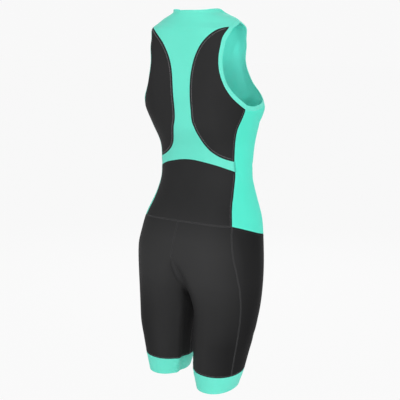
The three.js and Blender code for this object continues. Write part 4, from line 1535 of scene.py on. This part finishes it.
@dataclass
class Sewing:
    """All the suit's stitching, laid beside its seams, in millimetres."""

    cloth: Cloth
    finishes: Finishes
    row_gap: float = 2.2
    cover_row: float = 4.3
    cover_gap: float = 1.0
    flat_half: float = 1.7
    ladder_pitch: float = 1.25
    neck_row: float = -4.5
    zip_row: float = -3.0
    binding_row: float = 2.2
    band_row: float = 3.4
    hem_row: float = 4.0
    crotch_gap: float = 8.0
    belly_top: float = -523.0
    seam_places: int = 160
    zip_places: int = 300
    leg_places: int = 200
    seat_places: int = 60
    belly_places: int = 20
    hem_step: float = 1.5
    made: list = field(default_factory=list)

    def __post_init__(self) -> None:
        """Makes the threads' materials."""
        self.drape, self.form, self.lines = self.cloth.drape, self.cloth.form, self.cloth.lines
        self.mint = self.finishes.mint_thread.make()
        self.seam = self.finishes.seam_thread.make()
        self.black = self.finishes.black_thread.make()
        self.grey = self.finishes.grey_thread.make()
        self.dark = self.finishes.dark_thread.make()

    def stitching(self, name: str, material: bpy.types.Material) -> Stitching:
        """Starts a piece of stitching, which is kept with its thread.

        Args:
            name: the piece's name.
            material: its thread.

        Returns:
            The stitching, still empty.
        """
        piece = Stitching(name)
        self.made.append((piece, material))
        return piece

    def dense(self, rows: tuple) -> np.ndarray:
        """A seam's places, close together."""
        return along_seam(self.form, rows, np.linspace(0.0, 1.0, self.seam_places))

    def line(self, row: SewnRow, shift: float, side: int) -> tuple:
        """The cloth's points and normals along a row.

        Args:
            row: the row.
            shift: how far beside the row's own distance.
            side: LEFT or RIGHT.

        Returns:
            Points and normals.
        """
        places = row.places[row.trim[0]: len(row.places) - row.trim[1]]
        line = beside(self.form, row.patch, places, row.distance + shift, row.closed)
        if row.closed:
            line = np.concatenate([line, line[:1]])
        return self.drape.line(row.patch, line, side)

    def sew(self, row: SewnRow, side: int) -> None:
        """Sews along a seam, into the row's piece.

        Args:
            row: the row.
            side: LEFT or RIGHT.
        """
        if row.kind is StitchKind.NEEDLE:
            row.piece.row(*self.line(row, 0.0, side))
            return
        half = self.flat_half if row.kind is StitchKind.FLATLOCK else self.row_gap
        first, second = self.line(row, -half, side), self.line(row, half, side)
        row.piece.row(*first)
        row.piece.row(*second)
        if row.kind is StitchKind.FLATLOCK:
            row.piece.ladder(first, second, self.ladder_pitch)

    def sew_all(self, rows: tuple) -> None:
        """Sews rows on the left half, then on the right.

        Args:
            rows: the rows, in order.
        """
        for side in (LEFT, RIGHT):
            for row in rows:
                self.sew(row, side)

    def leg_line(self, turn: object, top: float, bottom: float) -> np.ndarray:
        """Places down a leg.

        Args:
            turn: the turn that it keeps to, or a table of turns and levels.
            top: its upper level.
            bottom: its lower level.

        Returns:
            The places.
        """
        levels = np.linspace(top, bottom, self.leg_places)
        table = np.array(turn if isinstance(turn, tuple) else ((turn, top),), float)
        return np.stack([np.interp(-levels, -table[:, 1], table[:, 0]), levels], -1)

    def sew_body(self) -> None:
        """Sews the seams of the back, the sides, the neck and the zip."""
        lines, form = self.lines, self.form
        grey = self.stitching("stitches_panels", self.grey)
        mint = self.stitching("stitches_body_mint", self.mint)
        black = self.stitching("stitches_body_black", self.black)
        seam = self.stitching("stitches_yoke_ends", self.seam)
        yoke, arch = self.dense(lines.yoke_edge), self.dense(lines.waist_arch)
        upper, lower = self.dense(lines.side_upper), self.dense(lines.side_lower)
        neck_front = self.dense(lines.to_zip(form, lines.neck_front))
        hip_front = self.dense(lines.to_zip(form, lines.hip_front))
        levels = np.linspace(neck_front[-1, 1], hip_front[-1, 1], self.zip_places)
        needle, twin, flatlock = StitchKind.NEEDLE, StitchKind.TWIN, StitchKind.FLATLOCK
        self.sew_all((
            SewnRow(grey, needle, yoke, self.cover_row, trim=(4, 3)),
            SewnRow(grey, needle, yoke, self.cover_row + self.cover_gap, trim=(5, 4)),
            SewnRow(mint, needle, yoke, -self.row_gap, trim=(2, 0)),
            SewnRow(black, needle, arch, -self.cover_row),
            SewnRow(seam, flatlock, self.dense(lines.side_flare)),
            SewnRow(mint, needle, arch, self.row_gap),
            SewnRow(grey, needle, upper, -self.cover_row, trim=(2, 4)),
            SewnRow(mint, needle, upper, self.row_gap),
            SewnRow(grey, needle, lower, -self.cover_row, trim=(6, 0)),
            SewnRow(mint, needle, lower, self.row_gap),
            SewnRow(mint, needle, self.dense(lines.neck_back), self.neck_row),
            SewnRow(mint, needle, neck_front, self.neck_row),
            SewnRow(mint, twin, self.dense(lines.shoulder), trim=(8, 4)),
            SewnRow(mint, needle, self.cloth.armhole_line(), self.binding_row, closed=True),
            SewnRow(mint, needle, lines.zip_edge(form, levels), self.zip_row),
            SewnRow(mint, needle, hip_front, self.row_gap),
            SewnRow(black, needle, hip_front, -self.cover_row),
        ))

    def sew_shorts(self) -> None:
        """Sews the hip, side, seat and inner leg seams and the hem bands."""
        lines, form = self.lines, self.form
        dark = self.stitching("stitches_shorts", self.dark)
        legs = self.stitching("stitches_legs", self.dark)
        grey = self.stitching("stitches_hems_grey", self.grey)
        mint = self.stitching("stitches_hems_mint", self.mint)
        seat_line = np.linspace(0.0, 1.0, self.seat_places)
        seat = straight([0.0, lines.hip_back[0][1]], [0.0, form.join], seat_line)
        belly_line = np.linspace(0.0, 1.0, self.belly_places)
        belly = straight([180.0, self.belly_top], [180.0, form.join], belly_line)
        side_leg = self.leg_line(lines.side_leg, form.join, lines.band_top)
        inseam = self.leg_line(lines.inseam, form.join - self.crotch_gap, lines.band_top)
        around = np.arange(0.0, 360.0, self.hem_step)
        top = np.stack([around, np.full(len(around), lines.band_top)], -1)
        hem = np.stack([around, np.full(len(around), lines.hem)], -1)
        needle, flatlock = StitchKind.NEEDLE, StitchKind.FLATLOCK
        self.sew_all((
            SewnRow(dark, flatlock, self.dense(lines.hip_back)),
            SewnRow(dark, flatlock, self.dense(lines.side_hip)),
            SewnRow(legs, flatlock, side_leg, patch=Patch.LEG),
            SewnRow(legs, flatlock, inseam, patch=Patch.LEG),
            SewnRow(dark, needle, seat, self.flat_half),
            SewnRow(dark, needle, belly, -self.flat_half),
            SewnRow(grey, needle, top, self.band_row, Patch.LEG, True),
            SewnRow(mint, needle, top, -self.row_gap, Patch.LEG, True),
            SewnRow(mint, needle, hem, self.hem_row, Patch.LEG, True),
        ))

    def make(self) -> None:
        """Sews everything and builds the threads."""
        self.sew_body()
        self.sew_shorts()
        for piece, material in self.made:
            report(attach(dress(piece.build(), material), "suit"))


@dataclass
class Zip:
    """The front zip: its moulded teeth down the middle of the tape, the slider and the pull."""

    drape: Drape
    lines: CutLines
    tooth: Thread = Thread(radius=0.42, pitch=1.5, length=2.6, lift=0.25, sink=0.2)
    half: float = 0.85
    top: float = -66.0
    foot_gap: float = 3.0
    slider_level: float = -84.0
    slider_half: float = 4.0
    spread: float = 2.0
    spread_run: float = 16.0

    def make(self, finishes: Finishes) -> None:
        """Lays the teeth left and right of the middle by turns, apart above the slider.

        Args:
            finishes: the suit's finishes.
        """
        levels = np.arange(self.top, self.lines.hip_front[-1][1] + self.foot_gap, -self.tooth.pitch)
        teeth = Stitching("zip_teeth", self.tooth)
        for side in (LEFT, RIGHT):
            own = levels - (0.5 * self.tooth.pitch if side == RIGHT else 0.0)
            places = np.stack([np.full(len(own), 180.0), own], -1)
            points, normals = self.drape.line(Patch.BODY, places, side)
            parted = self.spread * ease((own - self.slider_level + self.slider_half) / self.spread_run)
            across = np.cross(np.gradient(points, axis=0), normals)
            across /= length_of(across)
            sign = np.sign(across[:, :1]) * side
            middle = points + across * sign * (self.half + parted)[:, None]
            teeth.place(middle, across, normals, self.tooth.length)
        report(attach(dress(teeth.build(), finishes.teeth.make()), "suit"))
        metal = finishes.metal.make()
        for node in ("zip_slider", "zip_pull"):
            report(dress(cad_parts[node], metal))


@dataclass(frozen=True)
class SoftLight:
    """A square soft light: where it stands, its side in metres and its power in watts."""

    name: str
    place: tuple
    size: float
    power: float

    def make(self, aim: tuple) -> None:
        """Makes the light.

        Args:
            aim: the point that it faces.
        """
        data = bpy.data.lights.new(self.name, "AREA")
        data.shape, data.size, data.energy = "SQUARE", self.size, self.power
        obj = bpy.data.objects.new(self.name, data)
        x, y, z = (a - p for a, p in zip(aim, self.place))
        obj.location = self.place
        obj.rotation_euler = (math.atan2(math.hypot(x, y), -z), 0.0, math.atan2(-x, y))
        bpy.context.scene.collection.objects.link(obj)


@dataclass(frozen=True)
class Studio:
    """A plain pale floor, soft lights and the camera at the photograph's view."""

    floor_level: float = -1.35
    floor_reach: float = 30.0
    floor_color: tuple = (0.04, 0.04, 0.04, 1)
    floor_roughness: float = 0.9
    floor_glow: float = 0.9
    world: float = 0.94
    white: tuple = (1.0, 1.0, 1.0, 1.0)
    aim: tuple = (0.0, 0.0, -0.42)
    lights: tuple = (
        SoftLight("key", (-0.73, 2.91, 0.15), 0.9, 27.0),
        SoftLight("side", (-2.46, 1.72, 0.1), 0.6, 36.0),
        SoftLight("front", (1.3, -2.7, 0.4), 1.2, 34.0),
    )
    eye: tuple = (-0.8879, 1.5312, -0.052)
    pitch: float = 78.0
    azimuth: float = 210.0
    lens: float = 70.65
    sensor: float = 36.0

    def floor(self) -> None:
        """A wide pale floor, lit from below as a light table is, which isn't part of the object."""
        r = self.floor_reach / MM
        z = self.floor_level / MM
        corners = np.array([(-r, -r, z), (r, -r, z), (r, r, z), (-r, r, z)])
        obj = new_mesh("floor", corners, [[0, 1, 2, 3]])
        sheet = NodeSheet("floor_pale")
        shader = sheet.node("ShaderNodeBsdfPrincipled", None, {
            "Base Color": self.floor_color, "Roughness": self.floor_roughness, "Specular IOR Level": 0.0,
            "Emission Color": self.white, "Emission Strength": self.floor_glow,
        })
        dress(obj, sheet.close(shader))

    def sky(self) -> None:
        """An even pale surround."""
        world = bpy.data.worlds.new("studio")
        world.use_nodes = True
        ground = world.node_tree.nodes["Background"]
        ground.inputs[0].default_value = self.white
        ground.inputs[1].default_value = self.world
        bpy.context.scene.world = world

    def camera(self) -> None:
        """The camera, without depth of field."""
        data = bpy.data.cameras.new("camera")
        data.lens, data.sensor_width = self.lens, self.sensor
        obj = bpy.data.objects.new("camera", data)
        obj.location = self.eye
        obj.rotation_euler = (math.radians(self.pitch), 0.0, math.radians(self.azimuth))
        bpy.context.scene.collection.objects.link(obj)
        bpy.context.scene.camera = obj

    def make(self) -> None:
        """Sets up the floor, the surround, the lights and the camera."""
        self.floor()
        self.sky()
        for light in self.lights:
            light.make(self.aim)
        self.camera()
        bpy.context.scene.view_settings.view_transform = "Standard"


CREASES = (
    Crease(Patch.BODY, RIGHT, (58, -330), (72, -360), (88, -382), 4.0, -1.3),
    Crease(Patch.BODY, RIGHT, (64, -326), (82, -352), (104, -366), 6.0, 1.0),
    Crease(Patch.BODY, RIGHT, (96, -338), (112, -350), (132, -352), 6.0, -1.1),
    Crease(Patch.BODY, LEFT, (60, -334), (75, -358), (94, -376), 5.0, -1.2),
    Crease(Patch.BODY, LEFT, (88, -330), (108, -348), (134, -356), 7.0, 1.1),
    Crease(Patch.BODY, LEFT, (100, -362), (120, -372), (146, -374), 6.0, -1.2),
    Crease(Patch.BODY, RIGHT, (84, -226), (98, -244), (118, -252), 7.0, -1.3),
    Crease(Patch.BODY, LEFT, (86, -224), (102, -240), (124, -246), 7.0, -1.2),
    Crease(Patch.BODY, RIGHT, (130, -52), (142, -78), (150, -112), 8.0, -1.2),
    Crease(Patch.BODY, LEFT, (126, -58), (140, -84), (152, -104), 8.0, -1.1),
    Crease(Patch.BODY, RIGHT, (118, -484), (136, -498), (158, -500), 8.0, -1.2),
    Crease(Patch.BODY, LEFT, (112, -478), (132, -492), (154, -498), 8.0, -1.3),
    Crease(Patch.LEG, LEFT, (352, -560), (348, -600), (345, -640), 9.0, -1.6),
    Crease(Patch.LEG, RIGHT, (352, -560), (355, -596), (364, -632), 9.0, -1.4),
    Crease(Patch.LEG, LEFT, (8, -585), (24, -606), (42, -612), 9.0, -1.0),
    Crease(Patch.LEG, RIGHT, (12, -590), (30, -612), (52, -616), 10.0, -1.1),
    Crease(Patch.LEG, LEFT, (346, -640), (343, -760), (333, -980), 8.0, 3.2),
    Crease(Patch.LEG, LEFT, (322, -650), (316, -760), (300, -980), 12.0, -3.2),
    Crease(Patch.LEG, RIGHT, (344, -660), (341, -780), (334, -980), 9.0, 2.4),
    Crease(Patch.LEG, RIGHT, (318, -660), (314, -780), (300, -980), 12.0, -2.4),
    Crease(Patch.LEG, LEFT, (172, -566), (190, -602), (214, -640), 9.0, -1.5),
    Crease(Patch.LEG, RIGHT, (170, -570), (188, -600), (210, -642), 9.0, -1.6),
    Crease(Patch.LEG, LEFT, (150, -560), (166, -588), (186, -622), 10.0, 1.0),
    Crease(Patch.LEG, RIGHT, (148, -556), (164, -590), (184, -628), 10.0, 1.1),
    Crease(Patch.LEG, LEFT, (96, -706), (128, -722), (160, -718), 11.0, -1.0),
    Crease(Patch.LEG, RIGHT, (88, -716), (120, -736), (156, -734), 11.0, -1.1),
    Crease(Patch.LEG, LEFT, (186, -772), (206, -790), (232, -786), 9.0, -1.2),
    Crease(Patch.LEG, RIGHT, (180, -764), (204, -784), (230, -782), 9.0, -1.1),
)


def main() -> None:
    """Builds the suit's classes in order and reports each piece."""
    logging.basicConfig(level=logging.INFO, format="%(message)s")
    drape = Drape(WornForm(), CREASES)
    lines, finishes = CutLines(), Finishes()
    cloth = Cloth(drape, lines, finishes)
    cloth.make()
    Sewing(cloth, finishes).make()
    Zip(drape, lines).make(finishes)
    Studio().make()


if __name__ == "__main__":
    main()
